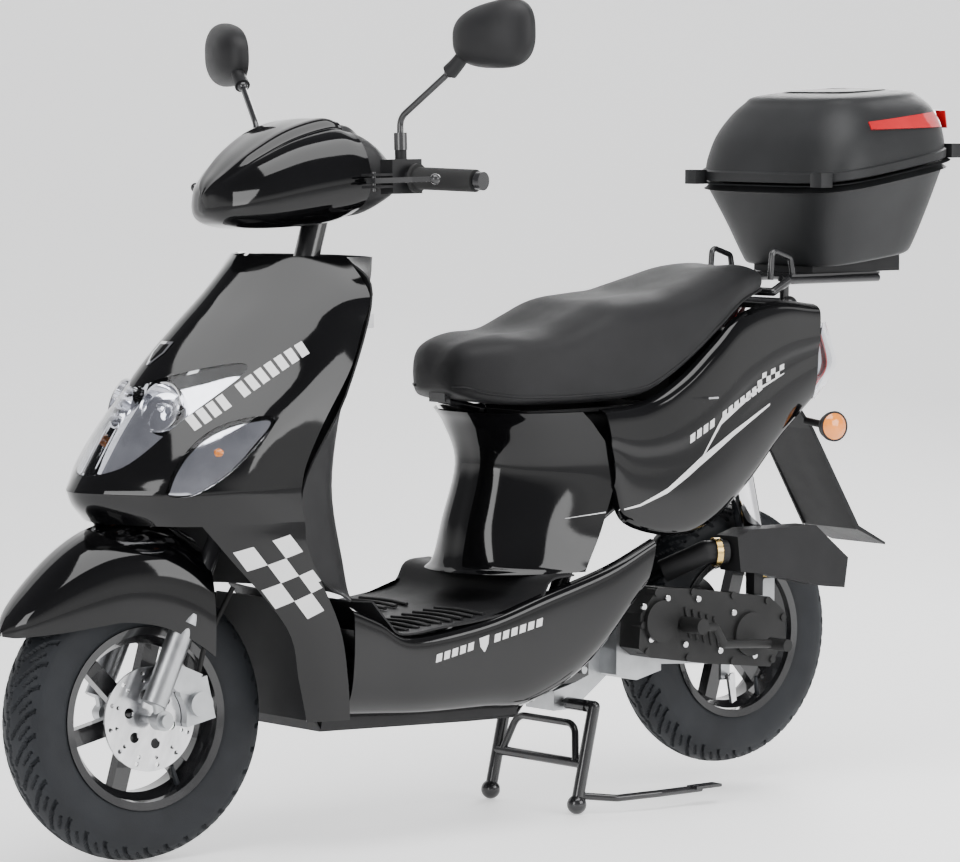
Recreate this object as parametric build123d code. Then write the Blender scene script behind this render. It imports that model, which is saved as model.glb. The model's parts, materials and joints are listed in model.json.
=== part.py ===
from build123d import *
import math
import os

# A step-through moped scooter, in millimetres: +X forward, +Y to the rider's left, +Z up.
# Pieces are drawn about the middle of the wheelbase and moved to the bounding box's bottom centre on export.

# ---- driving dimensions ----
WHEELBASE = 1220.0
TYRE_RADIUS = 216.0
TYRE_WIDTH = 90.0
TYRE_WALL = 9.0
BEAD_RADIUS = 128.0
RIM_WALL = 4.0
SPOKE_COUNT = 6
REAR_WHEEL_LIFT = 36.0
RAKE = 26.0
REST_STEER = -5.4
TRAIL_OFFSET = 30.0
FORK_OFFSET = 49.0
FORK_SPREAD = 82.0
FORK_TUBE_RADIUS = 13.5
FORK_LEG_RADIUS = 19.0
FORK_TRAVEL = 60.0
AXLE_RADIUS = 6.0
DISC_RADIUS = 79.0
DISC_THICKNESS = 4.0
BAR_RADIUS = 11.0
BAR_HALF_WIDTH = 336.0
GRIP_LENGTH = 118.0
GRIP_RADIUS = 17.0
MIRROR_REACH = 350.0
PANEL_WALL = 3.0
FRAME_TUBE_RADIUS = 14.0
HEAD_TUBE_RADIUS = 25.0
STAND_FOOT_SPREAD = 105.0
STAND_BALL_RADIUS = 16.0
STAND_TUBE_RADIUS = 10.0
CASE_WALL = 3.0
SCREW_RADIUS = 5.0

# ---- clearances ----
RUNNING_FIT = 0.05
PANEL_GAP = 0.3
MOVING_GAP = 2.0

# ---- places worked out from the driving dimensions ----
FRONT_SHIFT = (WHEELBASE - 1220.0) / 2
FLOOR_HALF_LENGTH = 150.0
FRONT_X = WHEELBASE / 2
REAR_X = -WHEELBASE / 2
REAR_Z = TYRE_RADIUS + REAR_WHEEL_LIFT
SIN_RAKE = math.sin(math.radians(RAKE))
COS_RAKE = math.cos(math.radians(RAKE))
STEER_FOOT = Vector(FRONT_X - TRAIL_OFFSET, 0, TYRE_RADIUS)
STEER_AXIS = Vector(-SIN_RAKE, 0, COS_RAKE)
FRONT_TIP = 832.4
REAR_TIP = -1037.0
ORIGIN_SHIFT = -(FRONT_TIP + REAR_TIP) / 2


# ---- helpers ----
def stretch(x):
    """Carries a station along the scooter to its place when the wheelbase differs from 1220."""
    share = max(-1.0, min(1.0, x / FLOOR_HALF_LENGTH))
    return x + FRONT_SHIFT * share


def at(x, y, z):
    return Vector(stretch(x), y, z)


def fork_point(ahead, y, up):
    """A point in the fork's own frame: ahead of the steering axis, sideways, and up along it."""
    return Vector(
        STEER_FOOT.X + ahead * COS_RAKE - up * SIN_RAKE,
        y,
        STEER_FOOT.Z + ahead * SIN_RAKE + up * COS_RAKE,
    )


def rod(start, end, radius):
    """A round bar between two points."""
    start, end = Vector(start), Vector(end)
    run = end - start
    frame = Plane(origin=start, z_dir=run)
    return extrude(frame * Circle(radius), run.length)


def pipe(start, end, outer, inner):
    start, end = Vector(start), Vector(end)
    run = end - start
    frame = Plane(origin=start, z_dir=run)
    return extrude(frame * (Circle(outer) - Circle(inner)), run.length)


def cross_rod(x, z, radius, y0, y1):
    """A round bar across the scooter, at a place along it and up it."""
    return rod((x, y0, z), (x, y1, z), radius)


def bent_rod(points, radius, bend):
    """A round bar along straight runs joined by arcs."""
    path = FilletPolyline(*points, radius=bend)
    start = Plane(origin=path @ 0, z_dir=path % 0)
    return sweep(start * Circle(radius), path=path)


def side_plate(outline, y0, y1):
    """An outline seen from the side, (x, z), given a thickness across the scooter."""
    frame = Plane(origin=(0, y0, 0), x_dir=(1, 0, 0), z_dir=(0, -1, 0))
    points = [(stretch(x), z) for x, z in outline]
    return extrude(frame * make_face(Polyline(*points, close=True)), -(y1 - y0))


def top_plate(outline, z0, z1):
    """An outline seen from above, (x, y), given a thickness upwards."""
    points = [(stretch(x), y) for x, y in outline]
    return extrude(Plane.XY.offset(z0) * make_face(Polyline(*points, close=True)), z1 - z0)


def offset_path(points, distance):
    """The path moved sideways by a distance, to the right of its direction, with mitred corners."""
    moved = []
    for i, (x, y) in enumerate(points):
        normals = []
        for a, b in ((i - 1, i), (i, i + 1)):
            if 0 <= a and b < len(points):
                dx, dy = points[b][0] - points[a][0], points[b][1] - points[a][1]
                size = math.hypot(dx, dy)
                normals.append((dy / size, -dx / size))
        nx = sum(n[0] for n in normals) / len(normals)
        ny = sum(n[1] for n in normals) / len(normals)
        square = nx * nx + ny * ny
        moved.append((x + distance * nx / square, y + distance * ny / square))
    return moved


def wall_loop(points, thickness):
    """The closed outline of a wall that follows a path."""
    return points + offset_path(points, thickness)[::-1]


def loop_face(points):
    return make_face(Polyline(*points, close=True))


def level_face(outline, z):
    return loop_face([at(x, y, z) for x, y in outline])


def both_sides(half):
    """A half outline from the rear edge to the middle, carried on to the other side."""
    return half + [(x, -y) for x, y in half[::-1] if y > 0]


def wall_loft(levels, thickness):
    """A wall through horizontal sections: each level is (z, half outline from rear edge to middle)."""
    faces = [level_face(wall_loop(both_sides(half), thickness), z) for z, half in levels]
    return loft(faces, ruled=True)


def solid_loft(levels):
    """A solid through horizontal sections, each given by its half outline from rear to front."""
    return loft([level_face(both_sides(half), z) for z, half in levels], ruled=True)


def mirrored(shape):
    return mirror(shape, about=Plane.XZ)


def pair(shape):
    return [shape, mirrored(shape)]


def biggest(shape):
    return max(shape.solids(), key=lambda s: s.volume)


PIECES = {}


def keep(name, shapes):
    """Files the solids of a named piece."""
    if not isinstance(shapes, (list, tuple)):
        shapes = [shapes]
    PIECES[name] = [solid for shape in shapes for solid in shape.solids()]


def keep_steered(name, shapes):
    """Files a piece of the steered assembly, drawn straight ahead, at its resting steer."""
    if not isinstance(shapes, (list, tuple)):
        shapes = [shapes]
    steer = Axis(origin=STEER_FOOT, direction=STEER_AXIS)
    PIECES[name] = [solid.rotate(steer, REST_STEER) for shape in shapes for solid in shape.solids()]


# ---- wheels ----
HUB_RADIUS = 24.0
HUB_HALF = 32.0
FLANGE_RADIUS = 138.0
FLANGE_HALF = 38.0


def tyre():
    """A tubeless tyre: outer crown and sidewalls, with the hollow inside, down to the beads."""
    half = TYRE_WIDTH / 2
    outer = [
        (BEAD_RADIUS, FLANGE_HALF - 6),
        (BEAD_RADIUS + 14, FLANGE_HALF + 1),
        (TYRE_RADIUS - 36, half),
        (TYRE_RADIUS - 18, half - 5),
        (TYRE_RADIUS - 5, half - 20),
        (TYRE_RADIUS, 0),
    ]
    inner = [
        (BEAD_RADIUS, FLANGE_HALF - 6 - TYRE_WALL),
        (BEAD_RADIUS + 14, FLANGE_HALF - TYRE_WALL),
        (TYRE_RADIUS - 38, half - TYRE_WALL),
        (TYRE_RADIUS - 24, half - 8 - TYRE_WALL),
        (TYRE_RADIUS - TYRE_WALL, 0),
    ]
    right = outer + inner[::-1]
    left = [(r, -y) for r, y in outer] + [(r, -y) for r, y in inner[::-1]]
    ring = revolve(Plane.XY * loop_face([(r, y) for r, y in right]), Axis.Y)
    return ring + revolve(Plane.XY * loop_face([(r, y) for r, y in left]), Axis.Y)


def rim(hub_half, bore):
    """A cast rim: bead seats and flanges, a drop well, a hub with its bore, and the spokes."""
    seat = BEAD_RADIUS - RUNNING_FIT
    section = [
        (seat, FLANGE_HALF - 5.7),
        (FLANGE_RADIUS, FLANGE_HALF),
        (FLANGE_RADIUS, FLANGE_HALF + 3),
        (seat - 2, FLANGE_HALF + 1),
        (seat - RIM_WALL, FLANGE_HALF - 8),
        (seat - 16, 14),
    ]
    back = [(r, -y) for r, y in section[::-1]]
    well = [(seat - 12, -12), (seat - 4, -20), (seat, -22)]
    outline = section + back + well + [(r, -y) for r, y in well[::-1]]
    barrel = revolve(Plane.XY * loop_face(outline), Axis.Y)
    wheel = barrel + cross_rod(0, 0, HUB_RADIUS, -hub_half, hub_half)
    spoke_end = seat - 14
    for i in range(SPOKE_COUNT):
        angle = 47 + i * 360 / SPOKE_COUNT
        blade = Box(spoke_end - HUB_RADIUS + 6, 20, 26)
        blade = Pos((spoke_end + HUB_RADIUS) / 2 - 2, 0, 0) * blade
        wheel += blade.rotate(Axis.Y, -angle)
    return wheel - cross_rod(0, 0, bore, -hub_half - 1, hub_half + 1)


def front_wheel():
    place = Pos(FRONT_X, 0, TYRE_RADIUS)
    keep_steered("front_tyre", place * tyre())
    keep_steered("front_rim", place * rim(HUB_HALF, AXLE_RADIUS + RUNNING_FIT))
    y0 = FLANGE_HALF + 8
    disc = cross_rod(0, 0, DISC_RADIUS, y0, y0 + DISC_THICKNESS)
    carrier = cross_rod(0, 0, 22, HUB_HALF, y0)
    holes = []
    for i in range(12):
        turn = math.radians(30 * i)
        for radius, size in ((DISC_RADIUS - 9, 3.5), (DISC_RADIUS - 20, 3.0), (38, 8.0)):
            x, z = radius * math.cos(turn + radius), radius * math.sin(turn + radius)
            if size < 8 or i % 2 == 0:
                holes.append(cross_rod(x, z, size, y0 - 1, y0 + DISC_THICKNESS + 1))
    bore = cross_rod(0, 0, AXLE_RADIUS + RUNNING_FIT, HUB_HALF - 1, y0 + DISC_THICKNESS + 1)
    keep_steered("brake_disc", place * (disc + carrier - holes - bore))


def front_fork():
    """Lower legs with axle lugs and the axle; upper tubes run inside them from the clamp."""
    low, top = 4.0, 150.0
    clamp_low, clamp_top = 345.0, 369.0
    legs = []
    for side in (1, -1):
        y = side * FORK_SPREAD
        leg = rod(fork_point(FORK_OFFSET, y, low), fork_point(FORK_OFFSET, y, top), FORK_LEG_RADIUS)
        collar = rod(fork_point(FORK_OFFSET, y, top - 16), fork_point(FORK_OFFSET, y, top), FORK_LEG_RADIUS + 3)
        lug = cross_rod(FRONT_X, TYRE_RADIUS, 15, y - 10, y + 10)
        arm = rod((FRONT_X, y, TYRE_RADIUS), fork_point(FORK_OFFSET, y, 16), 9)
        bore = rod(fork_point(FORK_OFFSET, y, low + 12), fork_point(FORK_OFFSET, y, top + 1),
                   FORK_TUBE_RADIUS + RUNNING_FIT)
        hole = cross_rod(FRONT_X, TYRE_RADIUS, AXLE_RADIUS + RUNNING_FIT, y - 30, y + 30)
        legs.append(leg + collar + lug + arm - bore - hole)
    reach = FORK_SPREAD + 10
    axle = cross_rod(FRONT_X, TYRE_RADIUS, AXLE_RADIUS, -reach, reach)
    axle += cross_rod(FRONT_X, TYRE_RADIUS, 10, reach, reach + 9)
    axle += cross_rod(FRONT_X, TYRE_RADIUS, 10, -reach - 9, -reach)
    keep_steered("fork_lower_legs", legs + [axle])

    tube_low = low + 14 + FORK_TRAVEL
    stem = rod(fork_point(0, 0, clamp_top), fork_point(0, 0, HEAD_TOP + 70), STEM_RADIUS)
    clamp = extrude(
        Plane(origin=fork_point(0, 0, clamp_low), x_dir=(COS_RAKE, 0, SIN_RAKE), z_dir=STEER_AXIS)
        * (Rectangle(54, 2 * FORK_SPREAD) + Pos(FORK_OFFSET - 12, 0) * Rectangle(58, 2 * FORK_SPREAD + 36)),
        clamp_top - clamp_low,
    )
    body = stem + clamp
    for side in (1, -1):
        y = side * FORK_SPREAD
        body += pipe(fork_point(FORK_OFFSET, y, tube_low), fork_point(FORK_OFFSET, y, clamp_top + 4),
                     FORK_TUBE_RADIUS, FORK_TUBE_RADIUS - 3)
    keep_steered("steering_stem", body)


STEM_RADIUS = 13.0
HEAD_LOW = 378.0
HEAD_TOP = 560.0


def front_brake():
    """A sliding caliper over the disc's rear edge, and the hose that leaves it upwards."""
    y_disc = FLANGE_HALF + 8 + DISC_THICKNESS / 2
    cx, cz = FRONT_X - 74, TYRE_RADIUS + 22
    body = Box(52, 30, 66).rotate(Axis.Y, 12)
    body = Pos(cx, y_disc + 3, cz) * body
    slot = cross_rod(FRONT_X, TYRE_RADIUS, DISC_RADIUS + 3, y_disc - 3.5, y_disc + 3.5)
    inside = cross_rod(FRONT_X, TYRE_RADIUS, 55, y_disc - 30, y_disc + 40)
    cylinder = cross_rod(cx - 2, cz - 4, 19, y_disc + 17, y_disc + 30)
    bracket = side_plate([(cx - 10, cz + 40), (cx + 40, cz + 62), (cx + 80, cz + 30), (cx + 10, cz + 10)],
                         y_disc + 6, y_disc + 20)
    tunnel = rod(fork_point(FORK_OFFSET, FORK_SPREAD, 0), fork_point(FORK_OFFSET, FORK_SPREAD, 160),
                 FORK_LEG_RADIUS + PANEL_GAP)
    caliper = biggest(body + cylinder + bracket - slot - inside - tunnel)
    keep_steered("brake_caliper", caliper)
    x0 = cx - 8
    hose = bent_rod([(x0, y_disc + 10, cz + 40), (x0 - 6, y_disc + 18, cz + 78), (x0 - 26, y_disc + 26, cz + 122),
                     (x0 - 54, y_disc + 28, cz + 168)], 4.0, 40)
    keep_steered("brake_hose", hose - caliper)


def fender_shell(inset):
    """The fender's outer form, or the hollow under it when inset by the wall."""
    stations = [
        (833, 360, 6, 350), (800, 410, 44, 352), (755, 452, 62, 356), (710, 484, 76, 364),
        (665, 504, 88, 368), (610, 512, 98, 356), (560, 506, 104, 330), (524, 490, 106, 305),
    ]
    rings = []
    for x, crown, half, low in stations:
        tall = crown - low
        edge = low - (20 if inset else 0)
        side = half - inset
        right = [(side, edge), (side, low + tall * 0.55), (side * 0.62, crown - tall * 0.12 - inset)]
        loop = right + [(0, crown - inset)] + [(-y, z) for y, z in right[::-1]]
        rings.append(loop_face([at(x - inset, y, z) for y, z in loop]))
    return loft(rings, ruled=True)


def front_fender():
    """A deep hooded fender that steers with the fork: a shell, open below and behind."""
    body = fender_shell(0) - fender_shell(PANEL_WALL) - clamp_space()
    for side in (1, -1):
        y = side * FORK_SPREAD
        body -= rod(fork_point(FORK_OFFSET, y, 0), fork_point(FORK_OFFSET, y, 240), FORK_LEG_RADIUS + 5)
        body -= rod(fork_point(FORK_OFFSET, y, 0), fork_point(FORK_OFFSET, y, 420), FORK_TUBE_RADIUS + PANEL_GAP)
    keep_steered("front_fender", biggest(body))


def clamp_space():
    frame = Plane(origin=fork_point(0, 0, 338), x_dir=(COS_RAKE, 0, SIN_RAKE), z_dir=STEER_AXIS)
    return extrude(frame * Rectangle(170, 2 * FORK_SPREAD + 40), 200)


# ---- handlebar group (drawn straight ahead) ----
BAR_X, BAR_Z = 238.0, 1018.0
GRIP_OUT_X, GRIP_OUT_Z = 190.0, 1008.0


def bar_line(y, side=1):
    """A point on the swept-back end of the handlebar, at a distance from its middle."""
    inner, outer = PERCH_IN - 4, BAR_HALF_WIDTH
    share = (y - inner) / (outer - inner)
    return Vector(stretch(BAR_X + (GRIP_OUT_X - BAR_X) * share), side * y, BAR_Z + (GRIP_OUT_Z - BAR_Z) * share)


GRIP_IN = BAR_HALF_WIDTH - GRIP_LENGTH - 4
GRIP_OUT = BAR_HALF_WIDTH - 4
PERCH_IN = GRIP_IN - 34


def neck_run(radius):
    return rod(fork_point(0, 0, HEAD_TOP + 14), at(BAR_X, 0, BAR_Z), radius)


def handlebar():
    bend = PERCH_IN - 4
    bar = rod(at(BAR_X, -bend, BAR_Z), at(BAR_X, bend, BAR_Z), BAR_RADIUS)
    for side in (1, -1):
        bar += Pos(*bar_line(bend, side)) * Sphere(BAR_RADIUS)
        bar += rod(bar_line(bend, side), bar_line(BAR_HALF_WIDTH, side), BAR_RADIUS)
        bar += rod(bar_line(BAR_HALF_WIDTH, side), bar_line(BAR_HALF_WIDTH + 10, side), BAR_RADIUS + 3)
    neck = neck_run(STEM_RADIUS + 7)
    socket = rod(fork_point(0, 0, HEAD_TOP + 2), fork_point(0, 0, HEAD_TOP + 70), STEM_RADIUS + RUNNING_FIT)
    keep_steered("handlebar", bar + neck - socket)


def grips():
    for name, side in (("grip_left", 1), ("throttle_grip", -1)):
        body = rod(bar_line(GRIP_IN + 9, side), bar_line(GRIP_OUT, side), GRIP_RADIUS)
        body += rod(bar_line(GRIP_IN + 9, side), bar_line(GRIP_IN + 14, side), GRIP_RADIUS + 5)
        bore = rod(bar_line(GRIP_IN - 5, side), bar_line(GRIP_OUT + 1, side), BAR_RADIUS + RUNNING_FIT)
        keep_steered(name, body - bore)


LEVER_X = BAR_X + 44
LEVER_Z = BAR_Z - 6


def lever_perches():
    """Switch housings with the lever pivots and mirror bosses; the right one holds the brake fluid."""
    perches = []
    for side in (1, -1):
        middle = (PERCH_IN + GRIP_IN) / 2
        width = GRIP_IN - PERCH_IN - 2
        x = stretch(BAR_X) - 6
        body = Pos(x, side * middle, BAR_Z) * Box(54, width, 52)
        for dz in (-9, 9):
            body += Pos(stretch(LEVER_X) - 8, side * middle, LEVER_Z + dz) * Box(40, width, 4)
        body += rod((x, side * middle, BAR_Z + 26), (x, side * middle, BAR_Z + 40), 9)
        if side < 0:
            body += Pos(x + 26, side * middle, BAR_Z + 30) * Box(44, width, 18)
        body -= rod(bar_line(PERCH_IN - 12, side), bar_line(GRIP_IN + 3, side), BAR_RADIUS + RUNNING_FIT)
        hole = (stretch(LEVER_X), side * middle)
        body -= rod((*hole, LEVER_Z - 20), (*hole, LEVER_Z - 5), 4)
        body -= rod((*hole, LEVER_Z + 5), (*hole, LEVER_Z + 14), 4)
        if side > 0:
            body -= Pos(x - 25, side * middle, BAR_Z - 8) * Box(16, 9.4, 9.4)
            body -= Pos(x - 25, side * middle, BAR_Z + 12) * Box(14, 16.4, 7.4)
        else:
            body -= Pos(x - 25, side * middle, BAR_Z - 8) * Box(16, 9.4, 9.4)
        perches.append(biggest(body))
        cap = Box(12, 9, 9)
        if side > 0:
            keep_steered("horn_button", Pos(x - 26.5, side * middle, BAR_Z - 8) * cap)
            keep_steered("indicator_switch", Pos(x - 26.5, side * middle, BAR_Z + 12) * Box(10, 8, 7))
        else:
            keep_steered("starter_button", Pos(x - 26.5, side * middle, BAR_Z - 8) * cap)
        pin_body = rod((*hole, LEVER_Z - 16), (*hole, LEVER_Z + 13.5), 3.95)
        blade = [(BAR_X + 38, middle - 9), (BAR_X + 52, middle - 9), (BAR_X + 52, middle + 14),
                 (BAR_X + 44, BAR_HALF_WIDTH - 40), (BAR_X + 32, BAR_HALF_WIDTH - 8), (BAR_X + 24, BAR_HALF_WIDTH - 8),
                 (BAR_X + 32, BAR_HALF_WIDTH - 40), (BAR_X + 38, middle + 14)]
        lever = top_plate([(a, side * b) for a, b in blade][::side], LEVER_Z - 4, LEVER_Z + 4)
        lever = lever - rod((*hole, LEVER_Z - 20), (*hole, LEVER_Z + 20), 3.95)
        lever += pin_body
        lever += Pos(stretch(BAR_X) + 26, side * (BAR_HALF_WIDTH - 6), LEVER_Z) * Sphere(8)
        keep_steered("brake_lever_left" if side > 0 else "brake_lever_right", lever)
    keep_steered("lever_perches", perches)


MIRROR_BALL = (200.0, 1172.0)
MIRROR_SIZE = (60.0, 150.0, 106.0)


def mirrors():
    """Bent stems on the perches; each head turns on the ball at its stem's end."""
    stems = []
    middle = (PERCH_IN + GRIP_IN) / 2
    base_x = stretch(BAR_X) - 6
    ball_y = MIRROR_REACH - 66
    for side in (1, -1):
        points = [(base_x, side * middle, BAR_Z + 40), (base_x, side * middle, BAR_Z + 88),
                  (stretch(MIRROR_BALL[0]), side * ball_y, MIRROR_BALL[1])]
        stem = bent_rod(points, 5.0, 24)
        boot = rod(points[0], (base_x, side * middle, BAR_Z + 66), 10)
        ball = Pos(stretch(MIRROR_BALL[0]), side * ball_y, MIRROR_BALL[1]) * Sphere(9)
        stems.append(stem + boot + ball)
        head = mirror_head(side, ball_y)
        keep_steered("mirror_head_left" if side > 0 else "mirror_head_right", head)
    keep_steered("mirror_stems", stems)


def mirror_head(side, ball_y):
    """A rounded shell facing the rider, hollowed for the ball, with the glass let into its rear face."""
    depth, width, height = 44.0, 146.0, 104.0
    shapes = []
    for x, scale in ((0, 0.94), (14, 1.0), (depth * 0.7, 0.84), (depth, 0.5)):
        outline = RectangleRounded(height * scale, width * scale, 30 * scale)
        shapes.append(Plane(origin=(x, 0, 0), x_dir=(0, 0, 1), z_dir=(1, 0, 0)) * outline)
    body = loft(shapes)
    recess = extrude(Plane(origin=(-0.1, 0, 0), x_dir=(0, 0, 1), z_dir=(1, 0, 0))
                     * RectangleRounded(height * 0.94 - 8, width * 0.94 - 8, 24), 6)
    body -= recess
    body = body.rotate(Axis.Z, 16 * side)
    centre = Vector(stretch(MIRROR_BALL[0]) - 36, side * (ball_y + 74), MIRROR_BALL[1] + 52)
    body = Pos(*centre) * body
    neck = rod((stretch(MIRROR_BALL[0]), side * ball_y, MIRROR_BALL[1]), centre + Vector(16, -side * 52, -24), 9)
    body += neck
    body += Pos(stretch(MIRROR_BALL[0]), side * ball_y, MIRROR_BALL[1]) * Sphere(13)
    ball = Pos(stretch(MIRROR_BALL[0]), side * ball_y, MIRROR_BALL[1]) * Sphere(9 + RUNNING_FIT)
    base_x = stretch(BAR_X) - 6
    middle = (PERCH_IN + GRIP_IN) / 2
    mouth = Cone(10, 40, 40)
    run = Vector(base_x, side * middle, BAR_Z + 88) - Vector(stretch(MIRROR_BALL[0]), side * ball_y, MIRROR_BALL[1])
    frame = Plane(origin=Vector(stretch(MIRROR_BALL[0]), side * ball_y, MIRROR_BALL[1]) + run.normalized() * 22,
                  z_dir=run)
    return biggest(body - ball - frame * mouth)


def cowl_rings(inset):
    """Cross sections of the headlight-less cowl, from its front lip to its dash edge."""
    stations = [
        (462, 962, 1008, 18), (440, 950, 1028, 62), (400, 944, 1062, 100), (345, 944, 1094, 128),
        (288, 950, 1112, 150), (262, 958, 1106, 160),
    ]
    rings = []
    for x, low, high, half in stations:
        tall = high - low
        side = half - inset
        right = [(side * 0.6, low + inset), (side, low + tall * 0.36), (side * 0.9, low + tall * 0.7),
                 (side * 0.5, high - tall * 0.05 - inset)]
        loop = [(0, low + inset)] + right + [(0, high - inset)] + [(-y, z) for y, z in right[::-1]]
        rings.append(loop_face([at(x - inset, y, z) for y, z in loop]))
    return loft(rings, ruled=True)


def dash_rings(inset):
    stations = [(261.7, 958, 1106, 160), (236, 960, 1096, 166), (204, 978, 1062, 150)]
    rings = []
    for x, low, high, half in stations:
        tall = high - low
        side = half - inset
        right = [(side * 0.6, low + inset), (side, low + tall * 0.36), (side * 0.9, low + tall * 0.7),
                 (side * 0.5, high - tall * 0.05 - inset)]
        loop = [(0, low + inset)] + right + [(0, high - inset)] + [(-y, z) for y, z in right[::-1]]
        rings.append(loop_face([at(x + inset * 0.8, y, z) for y, z in loop]))
    return loft(rings, ruled=True)


def cowls():
    """The glossy front cowl, and the dash cowl that closes it round the handlebar."""
    neck = neck_run(STEM_RADIUS + 7 + 2)
    bar = rod(at(BAR_X, -200, BAR_Z), at(BAR_X, 200, BAR_Z), BAR_RADIUS + 2)
    front = cowl_rings(0) - cowl_rings(PANEL_WALL) - neck - bar
    opening = Pos(262, 0, 1030) * Box(12, 2 * (160 - PANEL_WALL) * 0.9, 84)
    front = biggest(front - opening - rod((330, 0, 930), (330, 0, 960), 60))
    keep_steered("cowl_front", front)
    rear = dash_rings(0) - dash_rings(PANEL_WALL) - neck - bar
    window = Pos(205, 0, 1030) * Box(40, 120, 52)
    mouth = Pos(258, 0, 1030) * Box(12, 2 * (160 - PANEL_WALL) * 0.9, 84)
    dial = Pos(214, 0, 1030) * Box(18, 119, 51)
    keep_steered("cowl_rear", [biggest(rear - window - mouth), biggest(dial - bar - neck)])


# ---- chassis ----
HANGER = (-240.0, 225.0)
HANGER_PIN_RADIUS = 6.0
SEAT_HINGE = (8.0, 668.0)
SEAT_PIN_RADIUS = 4.0
RACK_POST_Y = 52.0
SHOCK_TOP = (-560.0, 72.0, 604.0)
SHOCK_FOOT = (-628.0, 72.0, 336.0)
RACK_Z = 846.0


def main_frame():
    """Head tube, down tube, twin floor tubes, seat rails, cross tubes and lugs, welded into one."""
    r = FRAME_TUBE_RADIUS
    head = rod(fork_point(0, 0, HEAD_LOW), fork_point(0, 0, HEAD_TOP), HEAD_TUBE_RADIUS)
    start = fork_point(-HEAD_TUBE_RADIUS + 4, 0, HEAD_LOW + 60)
    knee = at(300, 0, 330)
    frame = head + rod(start, knee, r + 4) + Pos(*knee) * Sphere(r + 4) + rod(knee, at(262, 0, 222), r + 4)
    frame += rod(at(262, -72, 222), at(262, 72, 222), r)
    for side in (1, -1):
        nodes = [at(262, side * 72, 222), at(-118, side * 72, 222), at(-200, side * 94, 452),
                 at(-430, side * 94, 590), at(-560, side * 84, 640), at(-700, side * 64, 800)]
        for a, b in zip(nodes, nodes[1:]):
            frame += rod(a, b, r)
        for a in nodes:
            frame += Pos(*a) * Sphere(r)
        ear = side_plate([(-110, 240), (-110, 205), (-226, 205), (-256, 215), (-256, 236), (-230, 246)],
                         min(side * 56, side * 62), max(side * 56, side * 62))
        frame += ear + rod(at(-150, side * 60, 222), at(-118, side * 72, 222), r - 4)
        frame += rod(at(-118, side * 72, 222), at(-118, side * 59, 222), r)
        frame -= rod(at(HANGER[0], side * 40, HANGER[1]), at(HANGER[0], side * 80, HANGER[1]), HANGER_PIN_RADIUS)
    frame += rod(at(-60, -72, 222), at(-60, 72, 222), r - 2)
    frame += rod(at(-430, -92, 590), at(-430, 92, 590), r - 4)
    frame += rod(at(-700, -64, 800), at(-700, 64, 800), r - 4)
    post_x = -78
    frame += rod(at(-60, 0, 222), at(post_x, 0, 300), r - 4) + rod(at(post_x, 0, 300), at(post_x, 0, 650), r - 5)
    frame += Pos(*at(post_x, 0, 300)) * Sphere(r - 4) + Pos(*at(post_x, 0, 650)) * Sphere(r - 5)
    frame += rod(at(post_x, 0, 650), at(SEAT_HINGE[0], 0, SEAT_HINGE[1]), 6)
    frame += rod(at(SEAT_HINGE[0], -20, SEAT_HINGE[1]), at(SEAT_HINGE[0], 20, SEAT_HINGE[1]), SEAT_PIN_RADIUS)
    frame += cross_rod(stretch(SHOCK_TOP[0]), SHOCK_TOP[2], 6, 59, 91)
    frame += side_plate([(-574, 640), (-546, 640), (-552, 594), (-568, 594)], 86, 91)
    for y in (-RACK_POST_Y, RACK_POST_Y):
        frame += rod(at(-700, y, 800), at(-700, y, RACK_Z - 8), 8)
    frame -= rod(fork_point(0, 0, HEAD_LOW - 1), fork_point(0, 0, HEAD_TOP + 1), STEM_RADIUS + RUNNING_FIT)
    frame -= rod(fork_point(0, 0, HEAD_LOW + 16), fork_point(0, 0, HEAD_TOP - 16), STEM_RADIUS + 7)
    keep("main_frame", biggest(frame))


APRON_LEVELS = [
    (512.0, [(432, 190), (500, 176), (590, 142), (640, 90), (676, 0)]),
    (560.0, [(440, 190), (540, 176), (615, 142), (672, 84), (719, 0)]),
    (600.0, [(430, 190), (536, 174), (608, 132), (652, 78), (690, 0)]),
    (660.0, [(398, 192), (496, 174), (560, 128), (612, 76), (652, 0)]),
    (740.0, [(346, 192), (410, 172), (478, 122), (540, 72), (586, 0)]),
    (850.0, [(305, 188), (340, 160), (384, 108), (428, 62), (466, 0)]),
    (905.0, [(300, 124), (330, 104), (362, 76), (388, 46), (410, 0)]),
]


def front_apron():
    """The nose and leg shield, with the two side legs that run down behind the wheel."""
    body = wall_loft(APRON_LEVELS, PANEL_WALL)
    legs = [
        (512.4, [(432, 190), (590, 142)]),
        (466.0, [(424, 190), (548, 152)]),
        (354.0, [(366, 189), (448, 166)]),
        (205.0, [(330, 170), (396, 150)]),
    ]
    faces = []
    for z, run in legs:
        faces.append(level_face(wall_loop([(x, y) for x, y in run], PANEL_WALL), z))
    leg = loft(faces, ruled=True)
    body = body + leg + mirrored(leg)
    body -= headlight_space(0.3) + indicator_space(0.3) + mirrored(indicator_space(0.3))
    keep("front_apron", biggest(body))


def headlight_space(gap):
    outline = [(568 - gap, 752 + gap), (720, 700), (720, 584 - gap), (640 - gap, 584 - gap), (560, 640), (520, 700)]
    return side_plate(outline, -116 - gap, 116 + gap)


def indicator_space(gap):
    outline = [(640, 566 - gap), (600, 562 - gap), (480 - gap, 664 + gap), (520, 672 + gap), (600, 640)]
    return side_plate(outline, 126 - gap, 230)


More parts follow.
